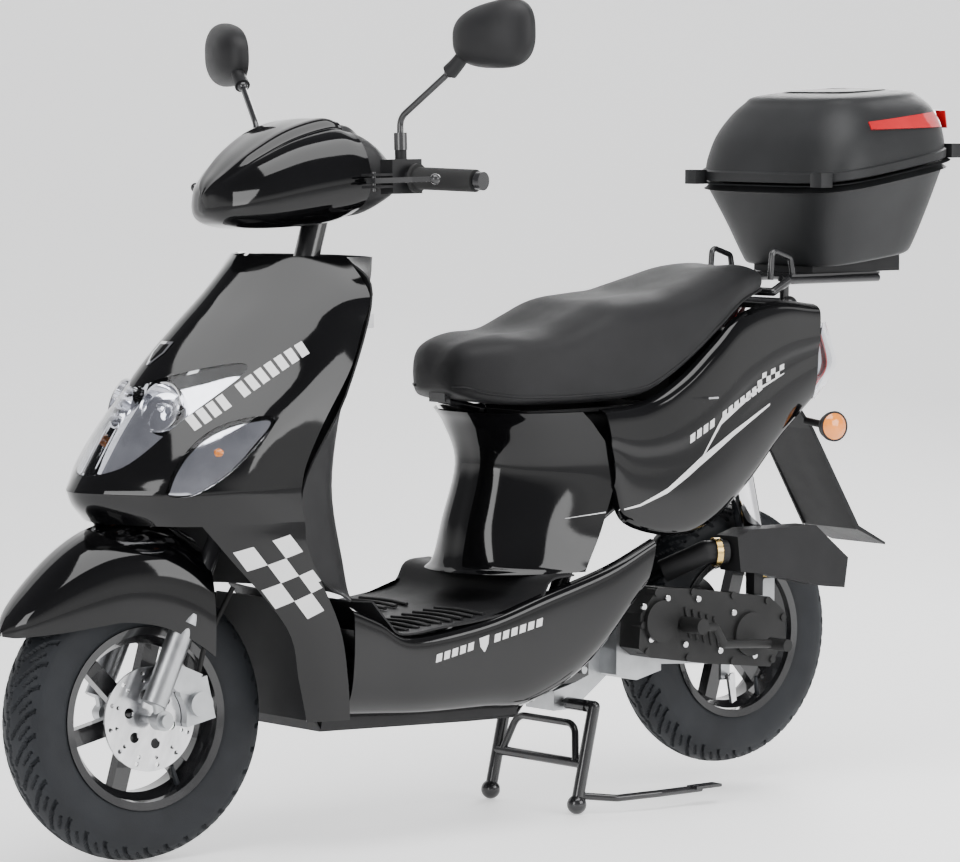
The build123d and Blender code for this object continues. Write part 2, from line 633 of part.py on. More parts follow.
def front_lamps():
    """The clear lens follows the apron's face; the reflector bowl stands behind it."""
    shell = wall_loft(APRON_LEVELS, PANEL_WALL)
    lens = biggest(shell & headlight_space(0))
    keep("headlight_lens", lens)
    almond = biggest(shell & indicator_space(0))
    keep("front_indicators", pair(almond))
    inner = wall_loft(APRON_LEVELS, PANEL_WALL + 8) - wall_loft(APRON_LEVELS, PANEL_WALL + PANEL_GAP)
    bowl = biggest(inner & headlight_space(-1) & (Pos(0, 0, 668) * Box(3000, 220, 140)))
    keep("headlight_reflector", bowl)


def inner_shield():
    """The rider's side of the leg shield, bulging round the steering column."""
    levels = [
        (386.0, [(340, 184), (310, 140), (278, 60), (272, 0)]),
        (440.0, [(414, 186), (330, 150), (290, 60), (284, 0)]),
        (560.0, [(436, 186), (352, 150), (318, 62), (308, 0)]),
        (700.0, [(352, 186), (330, 150), (268, 66), (252, 0)]),
        (850.0, [(300, 184), (282, 140), (216, 70), (196, 0)]),
        (900.0, [(296, 120), (276, 96), (206, 68), (190, 0)]),
    ]
    body = wall_loft(levels, -PANEL_WALL)
    body -= rod(fork_point(0, 0, HEAD_TOP - 30), fork_point(0, 0, HEAD_TOP + 160), 46)
    keep("inner_leg_shield", biggest(body - rod(at(190, 48, 800), at(330, 48, 800), 9.3)))


def ignition_key():
    """The key in its lock barrel, beside the steering column."""
    barrel = rod(at(208, 48, 800), at(262, 48, 800), 9)
    bow = Pos(stretch(196), 48, 800) * Box(24, 4, 22)
    keep("ignition_key", barrel + bow)


FLOOR_LINE = [(290, 376), (232, 322), (75, 334), (-40, 352), (-72, 388), (-120, 392)]


def floor_board():
    """A ribbed tray for the feet, between the leg shield and the seat base."""
    under = [(x, z - PANEL_WALL) for x, z in FLOOR_LINE[::-1]]
    board = side_plate(FLOOR_LINE + under, -178.7, 178.7)
    ribs = [side_plate([(200, 323), (200, 236 + PANEL_GAP), (0, 236 + PANEL_GAP), (0, 343)], y - 6, y + 6)
            for y in (-72, 72)]
    for i in range(9):
        y = -160 + 40 * i
        ribs.append(side_plate([(220, 323), (82, 333.5), (82, 336), (220, 326)], y - 3, y + 3))
    post_gap = Pos(stretch(-96), 0, 380) * Box(64, 34, 120)
    keep("floor_board", biggest(board + ribs - post_gap))


SKIRT_TOP = [(330, 372), (280, 352), (218, 320), (74, 334), (-57, 368), (-190, 402), (-276, 438)]
SKIRT_LOW = [(-296, 402), (-223, 262), (-138, 246), (-60, 196), (64, 196), (330, 208)]


def side_skirts():
    """Side walls under the floor board, tucked in towards the belly."""
    inner = 179.0
    wall = side_plate(SKIRT_TOP + SKIRT_LOW, inner, inner + PANEL_WALL)
    lip = side_plate([(330, 208), (330, 212), (-60, 200), (-60, 196)], 126 + PANEL_GAP, inner)
    keep("side_skirts", pair(wall + lip))


def belly_cover():
    """A tray that closes the underside and turns up behind the front wheel."""
    outline = [(352, 378), (356, 378), (362, 200), (352, 184), (60, 174), (-44, 172), (-60, 190), (-60, 193),
               (-42, 175), (60, 177), (350, 187), (358, 200)]
    tray = side_plate(outline, -126, 126)
    rim = []
    for side in (1, -1):
        low, high = sorted((side * 126, side * (126 - PANEL_WALL)))
        rim.append(side_plate([(350, 187), (346, 211), (-54, 199), (-44, 176), (60, 177)], low, high))
    keep("belly_cover", biggest(tray + rim))


def seat_base_cover():
    """The panel below the seat's front, from the floor up, wrapping round to both sides."""
    levels = [
        (396.0, [(-170, 140), (-90, 122), (-34, 84), (-8, 36), (-6, 0)]),
        (450.0, [(-210, 142), (-110, 116), (-56, 78), (-28, 34), (-24, 0)]),
        (560.0, [(-236, 147.2), (-140, 106), (-90, 76), (-60, 34), (-56, 0)]),
        (630.0, [(-190, 138), (-110, 118), (-64, 86), (-38, 40), (-32, 0)]),
        (648.0, [(-170, 138), (-96, 122), (-54, 92), (-24, 42), (-18, 0)]),
    ]
    keep("seat_base_cover", biggest(wall_loft(levels, PANEL_WALL)))


TAIL_TOP = [(-214, 650), (-300, 654), (-382, 690), (-532, 788), (-640, 806), (-748, 798)]
TAIL_LOW = [(-764, 764), (-728, 640), (-660, 598), (-523, 486), (-400, 440), (-282, 444), (-236, 500), (-228, 560)]


def tail_panels():
    """Side panels under the seat, narrowing from the seat's middle to the tail light."""
    both = TAIL_TOP + TAIL_LOW
    frame_front, frame_rear = 152.0, 84.0
    side = side_plate(both, 0, 300)
    wall = top_plate([(-200, frame_front), (-400, 146), (-560, 122), (-780, frame_rear),
                      (-780, frame_rear - PANEL_WALL), (-560, 122 - PANEL_WALL), (-400, 146 - PANEL_WALL),
                      (-200, frame_front - PANEL_WALL)], 420, 820)
    panel = biggest(wall & side)
    lock = rod(at(-429, 120, 661), at(-429, 160, 661), 9.3)
    keep("tail_panels", [panel - lock, mirrored(panel)])


def seat_lock():
    barrel = rod(at(-429, 118, 661), at(-429, 148, 661), 9)
    keep("seat_lock_key", barrel + Pos(stretch(-429), 158, 661) * Box(22, 20, 3))


def tail_light():
    """The lamp across the tail: a clear and red lens wrapping round both sides."""
    outline = [(-752, 764), (-766, 764), (-794, 700), (-742, 640), (-728, 640), (-764, 700)]
    lens = side_plate(outline, -83.5, 83.5)
    hollow = side_plate([(-756, 758), (-764, 758), (-788, 700), (-742, 646), (-735, 646), (-768, 700)], -77, 77)
    keep("tail_light", lens - hollow)


def rear_mudguard():
    """The tail's centre moulding and the long flap behind the wheel, which carries the plate holder."""
    outline = [(-700, 632), (-724, 632), (-760, 590), (-870, 420), (-934, 388), (-934, 384), (-866, 414),
               (-752, 590), (-722, 624), (-700, 628)]
    flap = side_plate(outline, -64, 64)
    ribs = [side_plate([(-760, 590), (-870, 420), (-862, 414), (-752, 590)], y - 2, y + 2) for y in (-62, 62)]
    stay = side_plate([(-724, 632), (-727.4, 640), (-727.4, 650), (-714, 650), (-714, 632)], -64, 64)
    keep("rear_mudguard", biggest(flap + ribs + stay))


def rear_indicators():
    """Round lamps on short stalks beside the tail."""
    lamps = []
    for side in (1, -1):
        stalk = rod(at(-742, side * 64.3, 604), at(-742, side * 104, 600), 7)
        cup = rod(at(-728, side * 122, 596), at(-762, side * 122, 596), 22)
        lens = rod(at(-762, side * 122, 596), at(-772, side * 122, 596), 24)
        lamps.append(stalk + cup + lens)
    keep("rear_indicators", lamps)


def rear_rack():
    """A welded carrier: side tubes, hoops and the plate that the top case sits on."""
    r = 7.0
    rack = top_plate([(-690, -80), (-690, 80), (-908, 70), (-908, -70)], RACK_Z, RACK_Z + 4)
    for side in (1, -1):
        y = side * 72
        rack += rod(at(-654, y, 822), at(-690, y, RACK_Z - r + 1), r)
        rack += Pos(*at(-690, y, RACK_Z - r + 1)) * Sphere(r) + Pos(*at(-654, y, 822)) * Sphere(r)
        rack += rod(at(-690, y, RACK_Z - r + 1), at(-900, y, RACK_Z - r + 1), r)
        rack += bent_rod([at(-648, y, RACK_Z - 4), at(-652, y, 892), at(-694, y, 878), at(-700, y, RACK_Z)], 5, 8)
        rack += rod(at(-700, side * RACK_POST_Y, RACK_Z - 8), at(-700, side * RACK_POST_Y, RACK_Z), 11)
    rack += rod(at(-654, -72, 822), at(-654, 72, 822), r)
    rack += rod(at(-900, -72, RACK_Z - r + 1), at(-900, 72, RACK_Z - r + 1), r)
    keep("rear_rack", biggest(rack))


CASE_BASE_LEVELS = [
    ((-745, 862), (-958, 886), 116, 112, 30),
    ((-716, 930), (-990, 962), 146, 136, 44),
    ((-692, 996), (-1012, 1044), 182, 160, 60),
]
CASE_LID_LEVELS = [
    ((-690, 1000), (-1012, 1048), 184, 162, 60),
    ((-694, 1032), (-1012, 1078), 180, 158, 60),
    ((-722, 1104), (-1000, 1132), 150, 132, 50),
    ((-752, 1146), (-978, 1156), 112, 96, 40),
]


def case_face(front, rear, half_front, half_rear, corner, inset, drop=0.0):
    """One sloping section of the top case, with its corners cut off."""
    (xf, zf), (xr, zr) = front, rear
    run = math.hypot(xf - xr, zf - zr)
    ux, uz = (xf - xr) / run, (zf - zr) / run
    def place(along, y):
        return at(xr + ux * along, y, zr + uz * along + drop)
    a, b = inset, run - inset
    hf, hr, c = half_front - inset, half_rear - inset, corner
    belly = max(hf, hr) + 8
    right = [(b, hf - c), (b - c * 0.8, hf), (run * 0.5, belly), (a + c * 0.8, hr), (a, hr - c)]
    return loop_face([place(u, y) for u, y in right] + [place(u, -y) for u, y in right[::-1]])


def case_solid(levels, inset, first_drop=0.0, last_drop=0.0):
    faces = []
    for i, (front, rear, hf, hr, corner) in enumerate(levels):
        drop = first_drop if i == 0 else last_drop if i == len(levels) - 1 else 0.0
        faces.append(case_face(front, rear, hf, hr, corner, inset, drop))
    return loft(faces, ruled=True)


CASE_HINGE = (-682.0, 1000.0)
CASE_HINGE_Y = 100.0


def top_case():
    """A luggage box: open tub, hinged lid with a red reflector, and the lock at the back."""
    tub = case_solid(CASE_BASE_LEVELS, 0) - case_solid(CASE_BASE_LEVELS, CASE_WALL, CASE_WALL, 8)
    foot = side_plate([(-745, 862), (-958, 886), (-958, RACK_Z + 4.3), (-745, RACK_Z + 4.3)], -70, 70)
    foot -= case_solid(CASE_BASE_LEVELS, -PANEL_GAP) + side_plate(
        [(-760, 855), (-940, 855), (-940, 900), (-760, 900)], -60, 60)
    foot = side_plate([(-745, 862), (-958, 886), (-958, RACK_Z + 4.3), (-745, RACK_Z + 4.3)], -70, 70)
    tub += foot - side_plate([(-760, 845), (-940, 845), (-940, 861), (-760, 861)], -60, 60)
    hinge_x, hinge_z = stretch(CASE_HINGE[0]), CASE_HINGE[1]
    for y in (-CASE_HINGE_Y, CASE_HINGE_Y):
        tub += rod((hinge_x, y - 9, hinge_z), (hinge_x, y + 9, hinge_z), 6)
        tub += Pos(hinge_x - 8, y, hinge_z - 8) * Box(16, 18, 16)
        tub -= rod((hinge_x, y - 10, hinge_z), (hinge_x, y + 10, hinge_z), 2.5 + RUNNING_FIT)
    lock_at = at(-998, 0, 1000)
    tub += rod(lock_at, at(-1018, 0, 1000), 13) - rod(at(-1004, 0, 1000), at(-1019, 0, 1000), 8 + RUNNING_FIT)
    lid_outer = case_solid(CASE_LID_LEVELS, 0)
    lid = lid_outer - case_solid(CASE_LID_LEVELS, CASE_WALL, -6, -CASE_WALL)
    for y in (-CASE_HINGE_Y, CASE_HINGE_Y):
        for dy in (-14, 14):
            lid += rod((hinge_x, y + dy - 4.6, hinge_z), (hinge_x, y + dy + 4.6, hinge_z), 6)
            lid += Pos(hinge_x - 5, y + dy, hinge_z + 8) * Box(10, 9.2, 16)
        lid += rod((hinge_x, y - 15, hinge_z), (hinge_x, y + 15, hinge_z), 2.5)
    knuckles = [rod((hinge_x, y - 9.4, hinge_z), (hinge_x, y + 9.4, hinge_z), 6.6) for y in (-CASE_HINGE_Y, CASE_HINGE_Y)]
    pins = [rod((hinge_x, y - 15, hinge_z), (hinge_x, y + 15, hinge_z), 2.5) for y in (-CASE_HINGE_Y, CASE_HINGE_Y)]
    lid = biggest(lid - knuckles + pins)
    band = side_plate([(-1030, 1092), (-1030, 1120), (-776, 1108), (-776, 1090)], -300, 300)
    lid_space = lid_outer & band
    skin = lid_space - case_solid(CASE_LID_LEVELS, 1.5)
    reflector = biggest(skin)
    keep("top_case_lid", [biggest(lid - skin), reflector])
    gaps = [rod((hinge_x, y + dy - 5, hinge_z), (hinge_x, y + dy + 5, hinge_z), 7) for y in (-CASE_HINGE_Y, CASE_HINGE_Y)
            for dy in (-14, 14)]
    keep("top_case_base", biggest(tub - gaps))
    key = rod(at(-1007, 0, 1000), at(-1018, 0, 1000), 8) + Pos(stretch(-1018) - 10.3, 0, 1000) * Box(20, 3, 20)
    keep("case_lock_key", key)


TANK_HALF = 50.0


def storage():
    """The helmet bucket under the seat, and the fuel tank behind it with its screw cap."""
    bucket = side_plate([(-96, 650), (-110, 480), (-380, 500), (-396, 650)], -79.3, 79.3)
    bucket -= side_plate([(-99, 651), (-113, 483), (-377, 503), (-393, 651)], -76.3, 76.3)
    bucket += side_plate([(-90.2, 644), (-90.2, 650), (-400, 650), (-400, 644)], -97.6, 97.6) - side_plate(
        [(-98, 640), (-98, 652), (-394, 652), (-394, 640)], -76, 76)
    keep("underseat_bucket", biggest(bucket))
    tank = side_plate([(-440, 700), (-440, 640), (-560, 640), (-640, 700), (-640, 760), (-540, 760)], -TANK_HALF, TANK_HALF)
    for y in (-56.5, 56.5):
        tank += Pos(stretch(-600), y, 686) * Box(12, 14, 6)
    neck = rod(at(-580, 0, 759), at(-580, 0, 774), 20)
    keep("fuel_tank", tank + neck - rod(at(-580, 0, 750), at(-580, 0, 780), 15))
    cap = rod(at(-580, 0, 774.3), at(-580, 0, 786), 24) + rod(at(-580, 0, 762), at(-580, 0, 775), 14.95)
    keep("fuel_cap", cap + Pos(stretch(-580), 0, 789) * Box(36, 6, 8))


def seat():
    """The dual seat: an upholstered pad, stepped up towards the pillion, with its hinge tongue."""
    outline = [(18, 686), (24, 716), (-2, 756), (-60, 770), (-115, 772), (-200, 796), (-271, 818), (-381, 828),
               (-470, 848), (-544, 865), (-600, 866), (-634, 852), (-640, 830), (-560, 822), (-532, 796),
               (-382, 700), (-300, 664), (-214, 660), (-90, 660), (-20, 664)]
    plan = [(22, 30), (0, 76), (-60, 108), (-130, 124), (-300, 140), (-420, 138), (-540, 118), (-616, 84), (-640, 40)]
    block = side_plate(outline, -160, 160)
    pad = block & top_plate(plan + [(x, -y) for x, y in plan[::-1]], 640, 900)
    cap_space = rod(at(-580, 0, 700), at(-580, 0, 800), 30)
    tank_space = side_plate([(-430, 640), (-430, 708), (-536, 768), (-650, 768), (-650, 640)], -74, 74)
    pad = biggest(pad - cap_space - tank_space)
    hx, hz = SEAT_HINGE
    pad -= side_plate([(hx + 6, 650), (hx + 6, hz + 10), (-92, hz + 4), (-92, 650)], -12, 12)
    for low in (-19, 13):
        pad += side_plate([(hx - 7, hz - 6), (hx + 7, hz - 6), (hx + 7, hz + 26), (hx - 7, hz + 26)], low, low + 6)
    pad -= rod(at(hx, -21, hz), at(hx, 21, hz), SEAT_PIN_RADIUS + RUNNING_FIT)
    inside = side_plate([(-60, 650), (-60, 740), (-260, 780), (-400, 796), (-400, 650)], -88, 88)
    keep("seat", biggest(pad - inside))


def body_screws():
    """Round-headed screws through the panels."""
    spots = [(203, 182, 283), (-174, 182, 369), (60, 182, 290)]
    screws = []
    for x, y, z in spots:
        for side in (1, -1):
            screws.append(rod(at(x, side * y, z), at(x, side * (y + 2.5), z), SCREW_RADIUS))
    keep("body_screws", screws)


# ---- swing unit ----
REAR_HUB_HALF = 40.0
CVT_Y0, CVT_Y1 = 96.0, 142.0


def rear_wheel():
    place = Pos(REAR_X, 0, REAR_Z)
    keep("rear_tyre", place * tyre())
    keep("rear_rim", place * rim(REAR_HUB_HALF, AXLE_RADIUS + RUNNING_FIT))


def engine():
    """Crankcase with hanger lugs, its belt housing running back to the wheel, and the rear axle."""
    hx, hz = HANGER
    block = side_plate([(-286, 216), (-286, 330), (-330, 352), (-384, 330), (-384, 216), (-330, 204)], -62, 95.7)
    for side in (1, -1):
        lug = side_plate([(hx + 14, hz - 12), (hx + 14, hz + 10), (-290, 262), (-290, 212)],
                         *sorted((side * 40, side * 55.4)))
        block += lug
    block += rod(at(hx, -54, hz), at(hx, 54, hz), 12)
    block += rod(at(hx, -70, hz), at(hx, 70, hz), HANGER_PIN_RADIUS - RUNNING_FIT)
    housing = side_plate([(-300, 262), (-300, 330), (-336, 356), (-584, 322), (-622, 300), (-634, 262),
                          (-600, 208), (-446, 222), (-330, 230)], 62, CVT_Y0 - 0.3)
    drum_space = cross_rod(REAR_X, REAR_Z, 150, 40, 63)
    block += housing - drum_space
    block += cross_rod(REAR_X, REAR_Z, AXLE_RADIUS, -REAR_HUB_HALF - 18, 70)
    block += cross_rod(REAR_X, REAR_Z, 17, REAR_HUB_HALF + 1, 63)
    block += cross_rod(REAR_X, REAR_Z, 11, -REAR_HUB_HALF - 12, -REAR_HUB_HALF - 1)
    block += side_plate([(-544, 220), (-564, 218), (-564, 184), (-544, 184)], 64, 69.7)
    foot = (stretch(SHOCK_FOOT[0]), SHOCK_FOOT[2])
    block += side_plate([(-596, 316), (-616, 350), (-640, 350), (-640, 300), (-612, 290)], 88, CVT_Y0 - 0.3)
    block += cross_rod(*foot, SHOCK_PIN_RADIUS, 60, 90)
    block += side_plate([(-250, 200), (-206, 190), (-206, 158), (-250, 158), (-320, 206), (-300, 222)], -34, 34)
    block -= cross_rod(stretch(STAND_PIVOT[0]), STAND_PIVOT[1], STAND_PIN_RADIUS + RUNNING_FIT, -40, 40)
    block -= side_plate([(-310, 246), (-310, 318), (-372, 318), (-372, 228)], -50, 84)
    block -= side_plate([(-392, 250), (-392, 326), (-560, 304), (-560, 236)], 68, CVT_Y0 - 4)
    keep("crankcase", biggest(block))


STAND_PIVOT = (-229.0, 170.0)
STAND_PIN_RADIUS = 6.0
SHOCK_PIN_RADIUS = 5.0


def cvt_cover():
    """The belt cover: a shallow dish with raised pulley bosses and edge screws."""
    outline = [(-292, 262), (-296, 318), (-334, 358), (-400, 352), (-584, 326), (-618, 300), (-622, 256),
               (-586, 210), (-446, 226), (-316, 246)]
    dish = side_plate(outline, CVT_Y0, CVT_Y1)
    inner = [(-304, 266), (-306, 312), (-338, 346), (-400, 342), (-578, 316), (-606, 294), (-610, 258),
             (-580, 222), (-448, 238), (-320, 256)]
    dish -= side_plate(inner, CVT_Y0 - 1, CVT_Y1 - 4)
    dish += cross_rod(stretch(-337), 304, 34, CVT_Y1 - 1, CVT_Y1 + 8)
    dish += cross_rod(stretch(-539), 268, 36, CVT_Y1 - 1, CVT_Y1 + 6)
    for x, z in ((-300, 300), (-330, 350), (-410, 346), (-500, 334), (-578, 320), (-614, 290), (-590, 222),
                 (-500, 226), (-400, 240), (-310, 256)):
        dish += cross_rod(stretch(x), z, 6, CVT_Y1 - 20, CVT_Y1 + 3)
    kx, kz = stretch(KICK_SHAFT[0]), KICK_SHAFT[1]
    dish += cross_rod(kx, kz, 12, CVT_Y1 - 5, CVT_Y1 + 4)
    dish -= cross_rod(kx, kz, KICK_SHAFT_RADIUS + RUNNING_FIT, CVT_Y1 - 10, CVT_Y1 + 5)
    keep("cvt_cover", biggest(dish))


KICK_SHAFT = (-389.0, 295.0)
KICK_SHAFT_RADIUS = 6.0


def kick_lever():
    """A cranked pedal lever on the kick shaft, lying along the belt cover."""
    kx, kz = KICK_SHAFT
    y = CVT_Y1 + 38
    lever = rod(at(kx, CVT_Y1 - 8, kz), at(kx, y + 10, kz), KICK_SHAFT_RADIUS)
    lever += rod(at(kx, CVT_Y1 + 6, kz), at(kx, y + 10, kz), 13)
    corners = [at(kx, y, kz), at(-424, y, kz - 4), at(-444, y, 262), at(-556, y, 254)]
    for start, end in zip(corners, corners[1:]):
        lever += rod(start, end, 7) + Pos(*end) * Sphere(7)
    pedal = rod(at(-556, y - 7, 254), at(-556, y + 34, 254), 10)
    keep("kick_lever", lever + pedal)


def cylinder():
    """Finned cylinder and head in front of the crankcase, under the fan's shroud."""
    core = rod(at(-285.7, 0, 284), at(-196, 0, 296), 34)
    for i in range(7):
        x = -276 + i * 11
        core += Pos(stretch(x), 0, 286 + i * 1.5) * Box(4, 76, 96)
    core += Pos(stretch(-186), 0, 297) * Box(36, 76, 70)
    cut = Pos(stretch(-300), 0, 284) * Box(28.6, 300, 300)
    shroud = rod(at(-330, -62.3, 284), at(-330, -92, 284), 58)
    shroud -= rod(at(-330, -62, 284), at(-330, -88, 284), 54) + rod(at(-330, -86, 284), at(-330, -93, 284), 34)
    keep("cylinder_head", [biggest(core - cut), biggest(shroud)])


def airbox():
    """The black air filter box over the belt housing, and the intake hose with its clamp."""
    outline = [(-512, 372), (-504, 430), (-540, 440), (-684, 438), (-760, 380), (-752, 330), (-700, 336), (-560, 366)]
    box = side_plate(outline, 99, 148)
    box -= side_plate([(-518, 378), (-512, 425), (-542, 434), (-682, 432), (-752, 378), (-746, 336), (-700, 342),
                       (-560, 372)], 102, 145)
    box += side_plate([(-560, 329.8), (-560, 368), (-580, 370), (-580, 327.0)], 110, 130)
    hose = rod(at(-504, 122, 404), at(-470, 108, 404), 19) + Pos(*at(-470, 108, 404)) * Sphere(19)
    hose += rod(at(-470, 108, 404), at(-420, 60, 372), 19) + rod(at(-496, 118.7, 404), at(-484, 113.8, 404), 21)
    keep("airbox", [box, hose - box])


def exhaust():
    """Header pipe from the head and the silencer along the right side."""
    y = -104
    can = rod(at(-430, y, 236), at(-664, y, 293), 42) - rod(at(-436, y, 237.5), at(-658, y, 291.5), 38)
    header = bent_rod([at(-180, 0, 261), at(-180, 0, 192), at(-188, -104, 192), at(-433, y, 236.7)], 12, 18)
    bracket = side_plate([(-384, 222), (-384, 236), (-450, 250), (-450, 222)], -72, -62.3)
    keep("exhaust", biggest(can + header + bracket))


def rear_brake_arm():
    """The drum brake's lever on its cam, with the adjuster nut and the end of the cable."""
    arm = side_plate([(-546, 196), (-562, 196), (-566, 150), (-556, 146)], 78, 84)
    keep("rear_brake_arm", arm + cross_rod(stretch(-554), 190, 6, 70, 86))


def shock():
    """Rear shock: an upper body with its eye, and a rod with the lower eye; the spring is round both."""
    top, foot = Vector(stretch(SHOCK_TOP[0]), SHOCK_TOP[1], SHOCK_TOP[2]), Vector(
        stretch(SHOCK_FOOT[0]), SHOCK_FOOT[1], SHOCK_FOOT[2])
    run = foot - top
    d = run.normalized()
    def spot(along):
        return top + d * along
    y = SHOCK_TOP[1]
    upper = cross_rod(top.X, top.Z, 13, y - 11, y + 11) + rod(spot(8), spot(30), 12)
    upper += rod(spot(28), spot(34), 24) + rod(spot(34), spot(140), 10)
    upper -= rod(spot(48), spot(141), 5.05)
    upper -= cross_rod(top.X, top.Z, 6 + RUNNING_FIT, y - 12, y + 12)
    keep("shock_upper", upper)
    total = run.length
    lower = cross_rod(foot.X, foot.Z, 13, y - 11, y + 11) + rod(spot(total - 8), spot(total - 34), 12)
    lower += rod(spot(total - 34), spot(total - 40), 24) + rod(spot(total - 36), spot(100), 5)
    lower -= cross_rod(foot.X, foot.Z, SHOCK_PIN_RADIUS + 3.5, y - 12, y + 12)
    keep("shock_lower", lower)
    coil = pipe(spot(34.3), spot(total - 40.3), 22, 16)
    keep("shock_spring", coil)


def centre_stand():
    """Two legs on ball feet, an arch and a bar between them, the pivot tube and the foot lever."""
    px, pz = STAND_PIVOT
    r = STAND_TUBE_RADIUS
    ball_x, ball_z = -193, STAND_BALL_RADIUS
    frame = rod(at(px, -STAND_FOOT_SPREAD, pz), at(px, -42, pz), r) + rod(at(px, 42, pz), at(px, STAND_FOOT_SPREAD, pz), r)
    frame += rod(at(px, -43, pz), at(px, 43, pz), STAND_PIN_RADIUS)
    for side in (1, -1):
        y = side * STAND_FOOT_SPREAD
        frame += rod(at(px, y, pz), at(ball_x, y, ball_z), r) + Pos(*at(px, y, pz)) * Sphere(r)
        frame += Pos(*at(ball_x, y, ball_z)) * Sphere(STAND_BALL_RADIUS)
    frame += rod(at(-206, -STAND_FOOT_SPREAD, 80), at(-206, STAND_FOOT_SPREAD, 80), r - 2)
    arch = bent_rod([at(-205, -88, 84), at(-220, -70, 140), at(-220, 70, 140), at(-205, 88, 84)], 6, 24)
    lever = bent_rod([at(-196, 105, 30), at(-252, 136, 24), at(-330, 152, 26), at(-420, 153, 26)], 6, 30)
    pad = Pos(stretch(-424), 158, 30) * Box(56, 24, 5)
    frame += arch + lever + pad
    spring = rod(at(-219, 92, 94), at(-226, 92, 186), 6)
    keep("centre_stand", biggest(frame - spring))


def export_all():
    os.makedirs("parts", exist_ok=True)
    for name, solids in PIECES.items():
        moved = [Pos(ORIGIN_SHIFT, 0, -FLOOR_Z) * solid for solid in solids]
        shape = moved[0] if len(moved) == 1 else Compound(children=moved)
        export_step(shape, os.path.join("parts", name + ".step"))


FLOOR_Z = 0.0

BUILDERS = [
    front_wheel, front_fork, front_brake, front_fender, handlebar, grips, lever_perches, mirrors, cowls,
    main_frame, front_apron, front_lamps, inner_shield, ignition_key, floor_board, side_skirts, belly_cover,
    seat_base_cover, tail_panels, seat_lock, tail_light, rear_mudguard, rear_indicators, rear_rack, top_case,
    storage, seat, body_screws, rear_wheel, engine, cvt_cover, kick_lever, cylinder, airbox, exhaust,
    rear_brake_arm, shock, centre_stand,
]

if __name__ == "__main__":
    for build in BUILDERS:
        build()
    export_all()
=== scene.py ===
import json
import math

import bmesh
import bpy
from mathutils import Matrix, Vector
from mathutils.bvhtree import BVHTree

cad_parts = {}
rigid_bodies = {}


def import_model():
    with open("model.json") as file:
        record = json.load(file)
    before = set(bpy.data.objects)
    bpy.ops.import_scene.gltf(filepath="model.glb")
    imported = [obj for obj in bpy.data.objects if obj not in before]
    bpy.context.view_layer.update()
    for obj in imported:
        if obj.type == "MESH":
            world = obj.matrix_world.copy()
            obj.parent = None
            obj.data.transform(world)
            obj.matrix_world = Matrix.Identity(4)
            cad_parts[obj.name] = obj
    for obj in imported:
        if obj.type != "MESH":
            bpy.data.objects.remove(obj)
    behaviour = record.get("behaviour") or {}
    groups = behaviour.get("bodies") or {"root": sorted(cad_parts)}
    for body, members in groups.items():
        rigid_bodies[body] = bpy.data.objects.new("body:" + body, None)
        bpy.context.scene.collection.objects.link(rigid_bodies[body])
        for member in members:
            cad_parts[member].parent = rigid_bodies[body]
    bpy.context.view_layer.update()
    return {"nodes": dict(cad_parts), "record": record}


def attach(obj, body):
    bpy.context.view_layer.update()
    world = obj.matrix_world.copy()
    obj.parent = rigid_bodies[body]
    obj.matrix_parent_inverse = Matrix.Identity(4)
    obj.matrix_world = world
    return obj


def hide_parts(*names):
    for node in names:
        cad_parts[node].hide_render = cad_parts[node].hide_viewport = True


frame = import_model()

# ---- the frame of the drawing: millimetres about the middle of the wheelbase ----
SHIFT_X = 102.3
MM = 0.001
WHEELBASE = 1220.0
FRONT_X = WHEELBASE / 2
REAR_X = -WHEELBASE / 2
TYRE_RADIUS = 216.0
REAR_Z = TYRE_RADIUS + 36.0
RAKE = math.radians(26.0)
REST_STEER = math.radians(-5.4)
STEER_FOOT = Vector((FRONT_X - 30.0, 0, TYRE_RADIUS))
STEER_AXIS = Vector((-math.sin(RAKE), 0, math.cos(RAKE)))
STEER_TURN = Matrix.Rotation(REST_STEER, 4, STEER_AXIS)


def place(point, steered=False):
    """A point of the drawing, in metres in the frame; steered points are drawn straight ahead."""
    p = Vector(point)
    if steered:
        p = STEER_FOOT + STEER_TURN @ (p - STEER_FOOT)
    return Vector(((p.x + SHIFT_X) * MM, p.y * MM, p.z * MM))


# ---- materials ----
def new_material(name):
    material = bpy.data.materials.new(name)
    material.use_nodes = True
    tree = material.node_tree
    shader = tree.nodes["Principled BSDF"]
    return material, tree, shader


def set_shader(shader, **values):
    for key, value in values.items():
        shader.inputs[key.replace("_", " ")].default_value = value


def add_bump(tree, shader, source, strength, distance):
    bump = tree.nodes.new("ShaderNodeBump")
    bump.inputs["Strength"].default_value = strength
    bump.inputs["Distance"].default_value = distance
    tree.links.new(source, bump.inputs["Height"])
    tree.links.new(bump.outputs["Normal"], shader.inputs["Normal"])


def coordinates(tree, scale=(1, 1, 1)):
    where = tree.nodes.new("ShaderNodeTexCoord")
    mapping = tree.nodes.new("ShaderNodeMapping")
    mapping.inputs["Scale"].default_value = scale
    tree.links.new(where.outputs["Object"], mapping.inputs["Vector"])
    return mapping.outputs["Vector"]


def noise(tree, vector, scale, detail=4.0, rough=0.5):
    node = tree.nodes.new("ShaderNodeTexNoise")
    node.inputs["Scale"].default_value = scale
    node.inputs["Detail"].default_value = detail
    node.inputs["Roughness"].default_value = rough
    tree.links.new(vector, node.inputs["Vector"])
    return node.outputs["Fac"]


def ramp(tree, source, stops):
    node = tree.nodes.new("ShaderNodeValToRGB")
    elements = node.color_ramp.elements
    while len(elements) < len(stops):
        elements.new(0.5)
    for element, (position, colour) in zip(elements, stops):
        element.position = position
        element.color = (*colour, 1.0)
    tree.links.new(source, node.inputs["Fac"])
    return node.outputs["Color"]


